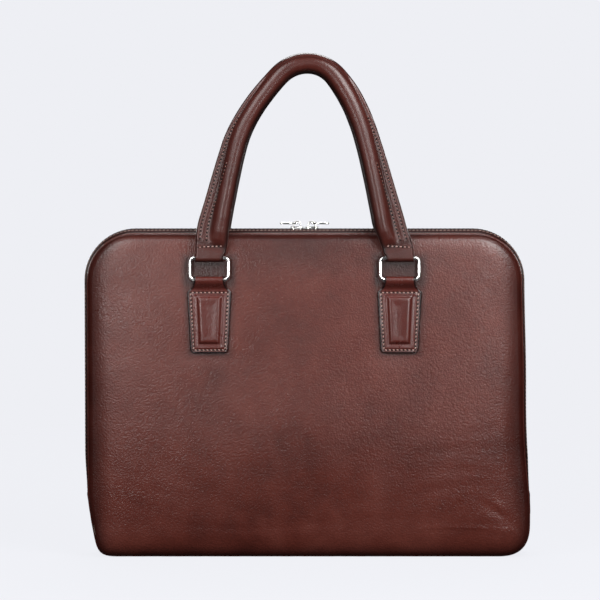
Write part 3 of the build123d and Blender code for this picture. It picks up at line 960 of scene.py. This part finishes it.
def leg_columns(z):
    """Distances inside the outer edge, closest together over the seam and the stitch rows."""
    outer = [0, 0.12, 0.4, 0.8, 1.4, 2.2, 2.9, 3.3, 3.7, 4.1, 4.5, 5.0, 5.5, 5.8, 6.1, 6.4, 6.7,
             7.0, 7.4, 8.0, 8.6, 9.0, 9.3, 9.6, 10.0, 10.6]
    rest = 2 * half_width(z) - outer[-1]
    return np.concatenate([outer, outer[-1] + rest * np.sin(np.linspace(0, math.pi / 2, 17)[1:])])


def leg_painted_shade(z, insets):
    """How dark the handle's leather is painted, all of it painted shade: in its grooves and
    stitch rows, along both edges where it turns away, beside the rope and above the ring.
    """
    half = half_width(z)
    rows = bump(insets, ROW_INSETS[0], 0.5) + bump(insets, ROW_INSETS[1], 0.5) * inner_row(z)
    edges = (0.85 * smooth(insets, 2 * half - 4.2, 2 * half - 0.8)
             + 0.55 * (1 - smooth(insets, 0.4, 1.6)))
    valley = bump(insets, 2 * half - 16.4, 2.0) * smooth(z, 280, 290) * (1 - smooth(z, 350, 380))
    above_ring = bump(z, CROSS_ROW_Z + 2.0, 2.2)
    return 0.10 + 0.55 * rows * smooth(z, 274, 280) + 0.5 * (above_ring + valley) + edges


def handle_half():
    """Rings of points down the right leg, from the apex to the loop on the ring's top bar."""
    points, headings = centre_line()
    rings, edge_paint_and_shade = [], []

    def add(centre, heading, z, squeeze=1.0, drop=0.0, dark=0.0):
        insets = leg_columns(z)
        depth, shade_here = leg_depth(z, insets), leg_painted_shade(z, insets)
        outward = np.array([-heading[1], heading[0]])
        n = half_width(z) - np.concatenate([insets, insets[-2:0:-1]])
        t = np.concatenate([depth, -depth[-2:0:-1]]) * squeeze
        t[[0, len(insets) - 1]] = 0
        rings.append(np.column_stack([centre[0] + outward[0] * n, t,
                                      centre[1] + outward[1] * n - drop]))
        edge_paint_and_shade.append(np.clip(np.concatenate([shade_here, shade_here[-2:0:-1]]) + dark, 0, 1))

    for centre, heading in zip(points, headings):
        add(centre, heading, centre[1])
    # The loop round the ring's top bar is painted darker as it turns under the bar: painted shade.
    for a in np.radians([14, 28, 42, 56, 70, 82]):
        down = math.sin(a)
        add(points[-1], headings[-1], RING_HIGH_Z, math.cos(a), LOOP_DROP * down, 0.35 * down)
    return np.array(rings), np.array(edge_paint_and_shade)


def sway(points):
    """The soft handle's set: its top leans a little to the right."""
    out = points.copy()
    z = points[..., 2]
    out[..., 0] += LEG_SHIFT * smooth(z, 268, 292) + (APEX_SHIFT - LEG_SHIFT) * smooth(z, 360, 432)
    return out


def handle(name, sign):
    """A whole handle's leather, from ring to ring, with its seam and stitches."""
    right, edge_paint_and_shade = handle_half()
    left = right * np.array([-1, 1, 1])
    points = np.concatenate([left[::-1], right[1:]])
    edge_paint_and_shade = np.concatenate([edge_paint_and_shade[::-1], edge_paint_and_shade[1:]])
    line = points.mean(axis=1)
    ripple = 0.10 * noise_at(points, 9.0, 6) + 0.20 * noise_at(points, 32.0, 7)
    points = sway(points + unit(points - line[:, None]) * ripple[..., None])
    points[..., 1] = (points[..., 1] + RING_Y) * sign
    parts = [solid(name, points, HANDLE_HIDE, edge_paint_and_shade)]
    for side in (-1, 1):
        parts += handle_stitches(name, sign, side)
    return join(name, parts)


def handle_stitches(name, sign, side):
    """The rows beside the seam, and the short row across the strap above the ring."""
    points, headings = centre_line(400)
    made = []
    for inset, top in zip(ROW_INSETS, ROW_TOPS):
        for face in (1, -1):
            line, normals = [], []
            for centre, heading in zip(points, headings):
                z = centre[1]
                if not ROW_FOOT < z < top:
                    continue
                outward = np.array([-heading[1], heading[0]])
                depth = leg_depth(z, np.array([inset - 0.4, inset, inset + 0.4]))
                slope = (depth[2] - depth[0]) / 0.8
                at = centre + outward * (half_width(z) - inset)
                line.append((side * at[0], sign * RING_Y + face * depth[1], at[1]))
                normals.append((side * outward[0] * slope, face, outward[1] * slope))
            made += seam_row(f"{name}_row", sway(np.array(line)), unit(np.array(normals)), 3.2, 2.1,
                             0.8, 24.0 * side * face * sign, HANDLE_THREAD, 2.3)
    spread = np.linspace(-10.8, 10.8, 12)
    for face in (1, -1):
        y = np.full_like(spread, sign * RING_Y + face * 2.72)
        across = np.column_stack([side * (RING_X - 1.2 + spread), y, CROSS_ROW_Z - 0.05 * spread])
        made += seam_row(f"{name}_cross", across, np.array([0.0, face, 0.0]), 3.5, 2.2, 0.95, 8.0)
    return made


def ring(name, x, sign):
    """A polished ring of round bar, a little flattened, with rounded corners."""
    corner = 4.0
    centre = np.array([x, (RING_HIGH_Z + RING_LOW_Z) / 2])
    half = np.array([RING_HALF_W, (RING_HIGH_Z - RING_LOW_Z) / 2]) - corner
    points, outward = [], []
    for quarter, way in ((0, (1, 1)), (90, (-1, 1)), (180, (-1, -1)), (270, (1, -1))):
        for a in np.radians(np.linspace(quarter, quarter + 90, 9)):
            direction = np.array([math.cos(a), math.sin(a)])
            points.append(centre + np.array(way) * half + corner * direction)
            outward.append(direction)
    points, outward = np.array(points), np.array(outward)
    across, depth = squarish(around(16), 0.8) * BAR_R
    out = np.zeros((len(points), len(across), 3))
    out[..., 0] = points[:, None, 0] + outward[:, None, 0] * across
    out[..., 2] = points[:, None, 1] + outward[:, None, 1] * across
    out[..., 1] = sign * RING_Y + depth
    return solid(name, out, NICKEL, wrap=(True, True))


for name, sign, body in HALVES:
    skin = handle(f"{name}_handle_leather", sign)
    place(skin, f"{name}_handle", "brown_leather", f"{name}_handle_cover", f"{name}_handle_core")
    for side_name, side in SIDES:
        node = f"{name}_{side_name}_ring"
        place(ring(f"{node}_metal", side * RING_X, sign), node, "nickel", node)


# ---- Anchor tabs
PAD_Z = (188.0, 229.0)
PAD_W = (17.6, 21.4)
TAB_FACE = PANEL_Y + 2.45
LOOP_W = 26.3
LOOP_R = 3.05
TAB_STITCH = 3.1


def tab_half_width(z):
    """Half the tab's width up to its shoulders, and its neck's above them."""
    half = np.interp(z, TAB_Z, TAB_W) / 2
    near = np.clip(4.0 - (z - TAB_Z[0]), 0, 4.0)
    half = half - (4.0 - np.sqrt(16.0 - near ** 2))
    shoulder = smooth(z, TAB_Z[1] - 3.6, TAB_Z[1] + 1.8)
    neck = LOOP_W / 2 + 1.6 * (1 - smooth(z, TAB_Z[1], 243))
    return half * (1 - shoulder) + neck * shoulder


def tab_edge(x, z):
    """How far inside the tab's outline a point of its plate is."""
    sides = np.interp(z, TAB_Z, TAB_W) / 2 - np.abs(x)
    return np.minimum(sides, np.minimum(z - TAB_Z[0], np.where(z < 238, TAB_Z[1] - z, 0)))


def tab_height(x, z):
    """How far the tab's face stands above its flat: the padded middle and stitch groove."""
    beside = np.interp(z, PAD_Z, PAD_W) / 2 - np.abs(x)
    inside = np.minimum(beside, np.minimum(z - PAD_Z[0], PAD_Z[1] - z))
    pad = (1.5 * smooth(inside, -0.3, 1.5) + 0.30 * smooth(inside, 1.0, 3.0)
           - 0.22 * smooth(inside, 2.5, 8.5))
    crease = -0.30 * bump(inside, -0.9, 0.7)
    edge = tab_edge(x, z)
    seam = 0.30 * bump(edge, TAB_STITCH + 2.1, 1.3) - 0.36 * bump(edge, TAB_STITCH, 0.9)
    return pad + crease + seam * (1 - smooth(z, TAB_Z[1] - 1.5, TAB_Z[1] + 0.5))


def tab_rows(zs, neck, share):
    """Rows of points across the tab's face and on up its neck, and how dark each point is: black
    edge paint along its edges, drawn wide enough to stand for painted shadow as well, and
    painted shade along the stitch groove.
    """
    rows, edge_paint_and_shade = [], []
    for z in zs:
        x = tab_half_width(z) * share
        edge = np.minimum(tab_half_width(z) - np.abs(x), z - TAB_Z[0])
        y = tab_face(x, z) - 0.5 * (1 - smooth(edge, 0, 0.9))
        rows.append(np.column_stack([x, y, np.full_like(x, z)]))
        # Edge paint widened as painted shadow, and painted shade along the stitch groove.
        edge_paint_and_shade.append(1 - smooth(edge, 1.3, 2.0) + 0.5 * bump(tab_edge(x, z), TAB_STITCH, 0.8))
    for y, z in neck:
        x = tab_half_width(z) * share
        edge = tab_half_width(z) - np.abs(x)
        rows.append(np.column_stack([x, y - 0.4 * (1 - smooth(edge, 0, 0.9)), np.full_like(x, z)]))
        edge_paint_and_shade.append(1 - smooth(edge, 1.1, 1.8))
    return np.array(rows), np.array(edge_paint_and_shade)


def tab_face(x, z):
    """The y of the tab's front face."""
    return TAB_FACE + tab_height(x, z) - 0.25 * (x / 19) ** 2


def anchor_tab(name, x0, sign):
    """The stitched tab: a plate with painted edges, their black band drawn wide as painted
    shadow too, and a padded face, whose neck rises over the ring's bar and turns back under
    itself."""
    share = np.concatenate([[-1, -0.985, -0.96, -0.93], np.linspace(-0.90, 0.90, 61),
                            [0.93, 0.96, 0.985, 1]])
    zs = np.concatenate([TAB_Z[0] + np.array([0, 0.25, 0.7, 1.3, 2.0, 2.7, 3.4]),
                         np.arange(183.4, TAB_Z[1] - 0.3, 0.62)])
    neck = [(TAB_FACE + 0.5, 236.3), (TAB_FACE + 1.6, 237.8), (RING_Y + 1.4, 239.6),
            (RING_Y + 2.5, 241.4)]
    for a in np.radians(np.linspace(-8, 188, 19)):
        neck.append((RING_Y + LOOP_R * math.cos(a), RING_LOW_Z + LOOP_R * math.sin(a)))
    neck += [(RING_Y - 3.5, 240.4), (RING_Y - 4.2, 237.5)]
    face, edge_paint_and_shade = tab_rows(zs, neck, share)
    back = face.copy()
    back[:len(zs), :, 1] = PANEL_Y - 0.3
    centre = np.array([RING_Y, RING_LOW_Z])
    for k, point in enumerate(neck):
        inwards = unit(centre - point) if point[1] > 241 else np.array([-1.0, 0.0])
        back[len(zs) + k, :, 1:] = np.array(point) + inwards * (1.05 if k > 2 else 2.2)
    points = np.concatenate([face, back[:, ::-1]], axis=1)
    edge_paint_and_shade = np.concatenate([edge_paint_and_shade, np.ones_like(edge_paint_and_shade)], axis=1)
    points[..., 0] += x0
    points[..., 1] *= sign
    parts = [solid(name, points, TAB_HIDE, edge_paint_and_shade)]
    top, foot = TAB_Z[1] - TAB_STITCH, TAB_Z[0] + TAB_STITCH
    top_x, foot_x = (np.interp(z, TAB_Z, TAB_W) / 2 - TAB_STITCH for z in (top, foot))
    corners = ((-foot_x, foot), (-top_x, top), (top_x, top), (foot_x, foot), (-foot_x, foot))
    for first, second in zip(corners, corners[1:]):
        x, z = (np.linspace(a, b, 60) for a, b in zip(first, second))
        line = np.column_stack([x + x0, (tab_face(x, z) + 0.08) * sign, z])
        parts += seam_row(f"{name}_stitches", line, np.array([0.0, sign, 0.0]), 3.3, 2.3, 1.0,
                          24.0 * sign)
    return join(name, parts)


for name, sign, body in HALVES:
    for side_name, side in SIDES:
        node = f"{name}_{side_name}_anchor_tab"
        place(anchor_tab(f"{node}_leather", side * RING_X, sign), body, "brown_leather", node)


# ---- Inside
def recolour(node, material):
    """Gives a CAD node that is kept its material."""
    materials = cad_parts[node].data.materials
    materials.clear()
    materials.append(material)


HIDDEN = {"padding": FOAM, "tab_fillers": FOAM, "anchor_backings": BOARD}
for name, _, _ in HALVES:
    for node, material in HIDDEN.items():
        recolour(f"{name}_{node}", material)
recolour("base_board", BOARD)

CLOTH = 0.6
LINING_CLOTH_THICKNESS = 0.45
LINING_INSET = 5.4
LINING_Y = 25.5


def lining(name, sign):
    """The fabric pan behind the panel: a plate with soft wrinkles, and its wall up to the zip."""
    loops = []
    plate_edge_y = 25.0
    for inset, out in ((0, 4.4), (0, 8.0), (0, 12.0), (0, 16.0), (0, 20.0), (0.1, 23.2),
                       (0.6, 24.9), (1.9, 25.45), (5.0, LINING_Y), (9.0, LINING_Y),
                       (14.0, LINING_Y)):
        x, z = np.vstack(panel_loop(LINING_INSET + 0.3 + inset)).T
        y = np.full(len(x), out)
        if inset < 0.5:
            wall = np.maximum(smooth(z, ZIP_END_Z, ZIP_END_Z + 9), 0.02)
            y = plate_edge_y - (plate_edge_y - out) * wall
        loops.append(np.column_stack([x, y, z]))
    face = patch(panel_loop(LINING_INSET + 17.0))
    points, faces = pan(loops, face, np.full(face.shape[:2], LINING_Y))
    wrinkle = 0.30 * noise_at(points * np.array([1, 1, 2.2]), 42.0, 11)
    wrinkle += 0.12 * noise_at(points, 15.0, 12)
    points[:, 1] += np.clip(wrinkle, -0.4, 0.3) * smooth(points[:, 1], 22, 25.2)
    points[:, 1] *= sign
    obj = fix_normals(make_mesh(name, points, faces, LINING_CLOTH, slumps=False))
    return thicken(obj, LINING_CLOTH_THICKNESS)


def base_lining():
    """The lining over the floor of the case and up its ends."""
    half, columns = 24.7, 25
    s = np.linspace(-BASE_END, BASE_END, 150)
    ys = np.linspace(-half, half, columns)
    points = follow(s, np.full(columns, -LINING_INSET - 0.3), ys)
    wave = 0.30 * noise_at(points, 36.0, 14) * smooth(half - np.abs(ys), 0, 5)[None, :]
    points[..., [0, 2]] -= outline(s)[1][:, None] * np.abs(wave)[..., None]
    obj = grid("base_lining_cloth", points, LINING_CLOTH, slumps=False)
    thicken(obj, LINING_CLOTH_THICKNESS)
    fold_with_front(obj)
    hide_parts("base_lining")


def slip_pocket():
    """A flat pocket on the front lining, hemmed along its open top and stitched round."""
    low, high = box_mm("front_slip_pocket")
    hem_rows = 8
    xs = np.linspace(low[0], high[0], 61)
    zs = np.concatenate([np.linspace(low[2], high[2] - 11, 47 - hem_rows),
                         np.linspace(high[2] - 10, high[2], hem_rows)])
    x, z = np.meshgrid(xs, zs)
    side = np.minimum(x - low[0], high[0] - x)
    up = z - low[2]
    belly = 1.5 * smooth(side, 0, 22) * smooth(up, 0, 22) * (0.6 + 0.4 * smooth(z, low[2], high[2]))
    hem = 0.35 * smooth(z, high[2] - 12.5, high[2] - 11.5)
    flat = np.stack([x, np.zeros_like(x), z], -1)
    wrinkle = 0.22 * noise_at(flat, 24.0, 21) * smooth(side, 0, 14) * smooth(up, 0, 14)
    seam = 0.25 * (bump(side, 4.0, 0.8) + bump(up, 4.0, 0.8))
    y = belly + hem + wrinkle * 0.8 - seam * 0.4 - 24.55
    skin = grid("front_slip_pocket_cloth", np.stack([x, y, z], -1), LINING_CLOTH, slumps=False)
    thicken(skin, CLOTH)
    parts = [skin]
    left, right, foot, top, hem_z = low[0] + 4, high[0] - 4, low[2] + 4, high[2] - 1, high[2] - 10.5
    for x0, z0, x1, z1 in ((left, top, left, foot), (left, foot, right, foot),
                           (right, foot, right, top), (left - 1, hem_z, right + 1, hem_z)):
        line_x, line_z = np.linspace(x0, x1, 80), np.linspace(z0, z1, 80)
        near = ((x.ravel() - line_x[:, None]) ** 2 + (z.ravel() - line_z[:, None]) ** 2).argmin(1)
        parts.append(flat_row("pocket_stitches", line_x, y.ravel()[near] + 0.34, line_z, 3.4, 1,
                              2.4, 0.5, 0))
    pocket = join("front_slip_pocket_cloth", parts)
    place(pocket, "front_half", "lining_fabric", "front_slip_pocket")


def inflate(obj, reach, pressure=4.0, frames=20):
    """Lets a pad swell as cloth under pressure, moving no point further than reach in mm."""
    before = get_points(obj)
    cloth = obj.modifiers.new("swell", "CLOTH")
    cloth.settings.use_pressure = True
    cloth.settings.uniform_pressure_force = pressure
    cloth.settings.effector_weights.gravity = 0.0
    cloth.point_cache.frame_start, cloth.point_cache.frame_end = 1, frames
    scene = bpy.context.scene
    for number in range(1, frames + 1):
        scene.frame_set(number)
    moved = get_points(obj.evaluated_get(bpy.context.evaluated_depsgraph_get())) - before
    obj.modifiers.remove(cloth)
    scene.frame_set(1)
    far = np.linalg.norm(moved, axis=1, keepdims=True)
    set_points(obj, before + moved * np.minimum(1.0, reach * MM / np.maximum(far, 1e-9)))


def pad_block(name, low, high, material, voxel=5.0):
    """A rounded block of padding, remeshed evenly for the cloth to swell."""
    centre, half = (low + high) / 2, (high - low) / 2
    loop_x, loop_z = squarish(around(96), 0.16)
    rings = []
    for share, depth in ((0.02, -1), (0.5, -1), (0.985, -1), (0.998, -0.6), (1, 0), (0.998, 0.6),
                         (0.985, 1), (0.5, 1), (0.02, 1)):
        loop = np.column_stack([loop_x * share, np.full(len(loop_x), depth), loop_z * share])
        rings.append(centre + loop * half)
    obj = solid(name, np.array(rings), material)
    return apply(obj, "REMESH", mode="VOXEL", voxel_size=voxel * MM)


def sleeve_padding(half, floor, top, front):
    """The padded divider, with its sewn channels and a row of stitches down each."""
    low = np.array([-half + 2.5, front + 0.7, floor + 1.5])
    high = np.array([half - 2.5, front + 5.2, top - 2.0])
    pitch, press_in = 36.0, 0.55
    middle_y = (low[1] + high[1]) / 2
    pad = pad_block("laptop_sleeve_padding", low, high, LINING_CLOTH)
    inflate(pad, 1.1)
    apply(pad, "SUBSURF", levels=1, render_levels=1)
    points = get_points(pad) / MM
    x, y, z = points.T
    channel = bump((x + pitch / 2) % pitch - pitch / 2, 0, 1.5)
    edge = np.minimum(high[0] - np.abs(x), np.minimum(z - low[2], high[2] - z))
    press = 1 - press_in * np.maximum(channel * smooth(edge, 6, 8), bump(edge, 7.0, 1.5))
    points[:, 1] = np.clip(middle_y + (y - middle_y) * press, front + 0.1, front + 6.1)
    set_points(pad, points * MM)
    for polygon in pad.data.polygons:
        polygon.use_smooth = True
    parts = [pad]
    line_y = middle_y - (middle_y - low[1]) * press_in - 0.1
    for x in np.arange(-4 * pitch, 4.1 * pitch, pitch):
        parts.append(flat_row("channel", x, line_y, np.linspace(floor + 9, top - 9.5, 70), 3.6, -1,
                              2.5, 0.5, 0))
    sleeve = join("laptop_sleeve_padding", parts)
    place(sleeve, "case", "lining_fabric", "laptop_sleeve")


def sleeve_sides(half, floor, top, front, back):
    """The cloth gusset from the divider to the rear lining, down, across and up."""
    corners = [(half - 1.5, top - 6), (half - 1.5, floor + 12), (half - 3.5, floor + 4.5),
               (half - 11, floor + 1.8)]
    wall = np.array([(-x, z) for x, z in corners] + corners[::-1])
    lengths = lengths_along(wall)
    line = at_lengths(wall, lengths, np.linspace(0, lengths[-1], 150))
    inwards = unit(np.array([0, (floor + top) / 2]) - line)
    ys = np.linspace(front + 3.0, back - 0.3, 9)
    fold = 1.6 * np.sin(np.linspace(0, math.pi, len(ys)))
    points = np.zeros((len(line), len(ys), 3))
    points[..., [0, 2]] = line[:, None] + inwards[:, None] * fold[None, :, None]
    points[..., 1] = ys
    sides = thicken(grid("laptop_sleeve_sides", points, LINING_CLOTH, slumps=False), CLOTH)
    place(sides, "case", "lining_fabric")


def sleeve_binding(half, top, middle_y):
    """The leather strip folded over the divider's top edge, and its stitches."""
    xs = np.linspace(-half + 1.6, half - 1.6, 120)
    section = [(-3.1, -9.0), (-3.2, -5.0), (-3.1, -1.6), (-2.2, -0.3), (0, 0.0), (2.2, -0.3),
               (3.1, -1.6), (3.2, -5.0), (3.1, -9.0), (0, -9.4)]
    points = [[(x, middle_y + y * 0.9, top - 0.2 + z) for y, z in section] for x in xs]
    binding = solid("laptop_sleeve_binding", np.array(points), BAND_HIDE)
    row = flat_row("binding_stitches", xs, middle_y - 2.95, top - 7.4, 3.4, -1, 2.4, 0.6, 12)
    place(join("laptop_sleeve_binding", [binding, row]), "case", "brown_leather")


def laptop_sleeve():
    """The laptop's pocket in the rear half: its divider, its sides and its bound top edge."""
    (_, front, floor), (half, back, top) = box_mm("laptop_sleeve")
    sleeve_padding(half, floor, top, front)
    sleeve_sides(half, floor, top, front, back)
    sleeve_binding(half, top, front + 2.95)


for name, sign, body in HALVES:
    cloth = lining(f"{name}_lining_cloth", sign)
    place(cloth, body, "lining_fabric", f"{name}_lining")
base_lining()
slip_pocket()
laptop_sleeve()


# ---- Sliders and pulls
def bevelled(name, shape, low, high, bevel):
    """A nickel plate of a closed outline of (x, y), from low to high in z, its edges rounded."""
    shape = np.asarray(shape, float)
    from_middle = shape - shape.mean(axis=0)

    def shrunk(share, z):
        return np.column_stack([shape.mean(axis=0) + from_middle * share, np.full(len(shape), z)])

    def inset(distance, z):
        return np.column_stack([shape - unit(from_middle) * distance, np.full(len(shape), z)])

    loops = [shrunk(0.02, low), shrunk(0.5, low), inset(bevel, low),
             inset(0.3 * bevel, low + 0.3 * bevel), inset(0, low + bevel), inset(0, high - bevel),
             inset(0.3 * bevel, high - 0.3 * bevel), inset(bevel, high), shrunk(0.5, high),
             shrunk(0.02, high)]
    return solid(name, np.array(loops), NICKEL)


def rounded(half_x, half_y, power=0.35, count=40, centre=(0, 0), taper=0.0):
    """A rounded rectangle's outline, narrower towards -x by taper."""
    x, y = squarish(around(count), power)
    return np.column_stack([centre[0] + half_x * x,
                            centre[1] + half_y * y * (1 - taper * (0.5 - 0.5 * x))])


def rod(name, path, radius, flat):
    """A nickel bar along points, flattened or widened by flat, as a closed tube."""
    path = np.asarray(path, float)
    tangent = unit(np.gradient(path, axis=0))
    side = unit(np.cross(tangent, [0.0, 1.0, 0.0]) + 1e-6)
    angle = around(12)[None, :, None]
    other = np.cross(tangent, side)[:, None]
    points = path[:, None] + radius * (side[:, None] * np.cos(angle) + flat * other * np.sin(angle))
    return solid(name, points, NICKEL)


def turned(obj, side):
    """Mirrors a right-hand piece to the left where side is -1."""
    if side < 0:
        set_points(obj, get_points(obj) * np.array([-1, 1, 1]))
        obj.data.flip_normals()
    return obj


BRIDGE_X = 6.5


def slider(name, side):
    """A cast slider: a winged top plate, its lower plate, side guides and an arched bridge."""
    low, high = box_mm("right_slider")
    plate_low, plate_top = TOP_Z + 3.35, TOP_Z + 4.75
    mid_x, half_x = (low[0] + high[0]) / 2, (high[0] - low[0]) / 2
    wings = rounded(half_x, high[1], 0.5, centre=(mid_x, 0), taper=0.28)
    parts = [bevelled("plate", wings, plate_low, plate_top, 0.55),
             bevelled("lower", wings, low[2], low[2] + 1.4, 0.4)]
    for y in (-4.05, 4.05):
        guide = rounded(half_x - 2.2, 0.5, 0.5, centre=(mid_x, y))
        parts.append(bevelled("guide", guide, TOP_Z + 1.05, plate_low + 0.2, 0.15))
    post = rounded(1.2, 1.0, 0.6, centre=(low[0] + 1.8, 0))
    parts.append(bevelled("post", post, low[2] + 0.2, plate_low + 0.2, 0.15))
    across, up = squarish(np.linspace(0, math.pi, 22), 0.6)
    arch = np.column_stack([BRIDGE_X + 3.0 * across, np.zeros(22),
                            plate_top - 0.3 + 4.55 * np.abs(up)])
    parts.append(rod("arch", arch, 0.72, 1.35))
    return turned(join(name, parts), side)


def pull(name, side):
    """A cast pull: a cross bar in the slider's bridge, two arms and a pierced, bevelled tab."""
    axis_z = TOP_Z + 7.6
    near, far = BRIDGE_X + 4.2, BRIDGE_X + 15.1
    outer = rounded((far - near) / 2, 3.2, 0.42, 48, ((far + near) / 2, 0))
    hole = rounded(1.7, 1.25, 0.9, 48, (far - 3.6, 0))
    loops = []
    for share, z in ((0, -0.62), (0.12, -0.8), (0.86, -0.8), (0.97, -0.66), (1, -0.3), (1, 0.3),
                     (0.97, 0.66), (0.86, 0.8), (0.78, 0.62), (0.3, 0.62), (0.12, 0.8), (0, 0.62)):
        loop = outer * share + hole * (1 - share)
        loops.append(np.column_stack([loop, np.full(len(loop), axis_z + z)]))
    parts = [solid("tab", np.array(loops), NICKEL, wrap=(True, True))]
    for y in (-2.3, 2.3):
        arm = rounded(2.9, 0.85, 0.5, centre=(BRIDGE_X + 2.5, y))
        parts.append(bevelled("arm", arm, axis_z - 0.75, axis_z + 0.75, 0.3))
    parts.append(cross_bar("bar", BRIDGE_X, axis_z, 3.0, 0.86))
    return turned(join(name, parts), side)


def cross_bar(name, x, z, half, radius):
    """A straight round bar along y with rounded ends."""
    t = np.linspace(-1, 1, 9)[:, None]
    girth = radius * np.sqrt(np.clip(1 - np.abs(t) ** 8, 0.05, 1))
    across, up = girth * np.cos(around(14)), girth * np.sin(around(14))
    points = np.stack([x + across, np.broadcast_to(half * t, up.shape), z + up], -1)
    return solid(name, points, NICKEL)


for name, side in SIDES:
    place(slider(f"{name}_slider_metal", side), f"{name}_slider", "nickel", f"{name}_slider")
    place(pull(f"{name}_pull_metal", side), f"{name}_pull", "nickel", f"{name}_pull")


# ---- Studio
PAPER = (0.855, 0.863, 0.905)


def seen_directly(tree):
    """1 for what the camera sees directly and 0 for light and reflections."""
    return tree.nodes.new("ShaderNodeLightPath").outputs["Is Camera Ray"]


def studio_paper():
    """A pale floor that fades into the same pale surroundings."""
    n = Nodes("studio_paper")
    from_middle = n.tree.nodes.new("ShaderNodeVectorMath")
    from_middle.operation = "LENGTH"
    n.put(n.space, from_middle.inputs[0])
    far = n.span(from_middle.outputs["Value"], 0.35, 1.1)
    glow = n.math("ADD", 0.955, n.math("MULTIPLY", far, 0.045))
    n.put(n.math("MULTIPLY", glow, seen_directly(n.tree)), n.shader.inputs["Emission Strength"])
    n.put(PAPER, n.shader.inputs["Emission Color"])
    tint = n.mix(n.noise(3.0), (0.050, 0.051, 0.054), (0.052, 0.053, 0.056))
    paper = n.finish(n.mix(far, tint, (0.0, 0.0, 0.0)), 0.95, Specular_IOR_Level=0.0)
    spread = np.linspace(-30000, 30000, 61)
    points = np.array([[(x, y, -0.4) for x in spread] for y in spread])
    grid("studio_paper", points, paper, slumps=False)


studio_paper()


def softbox(name, place_at, aim, size, power):
    """A rectangular area light; places and sizes in metres, power in watts."""
    light = bpy.data.lights.new(name, "AREA")
    light.shape = "RECTANGLE"
    light.size, light.size_y = size
    light.energy = power
    obj = bpy.data.objects.new(name, light)
    obj.location = place_at
    obj.rotation_euler = (Vector(aim) - Vector(place_at)).to_track_quat("-Z", "Y").to_euler()
    bpy.context.scene.collection.objects.link(obj)


softbox("left_near", (-0.34, -0.46, 0.62), (-0.12, 0, 0.22), (0.32, 0.32), 2.4)
softbox("right_near", (0.34, -0.46, 0.62), (0.12, 0, 0.22), (0.32, 0.32), 4.3)
softbox("left_sheen", (-0.33, -0.90, 0.285), (-0.09, 0, 0.22), (0.14, 0.2), 1.9)
softbox("right_sheen", (0.33, -0.90, 0.285), (0.09, 0, 0.22), (0.14, 0.2), 1.75)
softbox("left_strip", (-0.95, -0.75, 0.36), (-0.05, 0, 0.25), (0.10, 0.7), 0.5)
softbox("right_strip", (0.95, -0.75, 0.36), (0.05, 0, 0.25), (0.10, 0.7), 0.5)
softbox("overhead", (0.0, 0.15, 1.25), (0, 0, 0.2), (0.9, 0.4), 0.4)
softbox("back", (0.0, 1.0, 1.25), (0, 0, 0.15), (0.9, 0.5), 9.0)
softbox("left_side", (-0.95, 1.25, 0.5), (0, 0, 0.15), (0.5, 0.5), 5.0)
softbox("right_side", (0.95, 1.25, 0.5), (0, 0, 0.15), (0.5, 0.5), 5.0)
world = bpy.data.worlds.new("studio")
bpy.context.scene.world = world
world.use_nodes = True
sky = world.node_tree.nodes.new("ShaderNodeMix")
sky.data_type = "RGBA"
sky.inputs[6].default_value = (0.06, 0.062, 0.066, 1)
sky.inputs[7].default_value = (*PAPER, 1)
world.node_tree.links.new(seen_directly(world.node_tree), sky.inputs[0])
world.node_tree.links.new(sky.outputs[2], world.node_tree.nodes["Background"].inputs["Color"])


# ---- Camera
DISTANCE = 2.6
EYE_Z = 0.370
AIM = Vector((-0.0039, -0.022, 0.2253))
PICTURE_WIDTH = 0.5235

camera_data = bpy.data.cameras.new("camera")
camera_data.sensor_width = 36.0
camera_data.lens = 36.0 * DISTANCE / PICTURE_WIDTH
camera_data.clip_end = 20.0
camera = bpy.data.objects.new("camera", camera_data)
tilt = math.asin((EYE_Z - AIM.z) / DISTANCE)
offset = Vector((0, -math.cos(tilt), math.sin(tilt))) * DISTANCE
camera.location = AIM + offset
camera.rotation_euler = (-offset).to_track_quat("-Z", "Y").to_euler()
bpy.context.scene.collection.objects.link(camera)
bpy.context.scene.camera = camera
bpy.context.scene.view_settings.view_transform = "Standard"
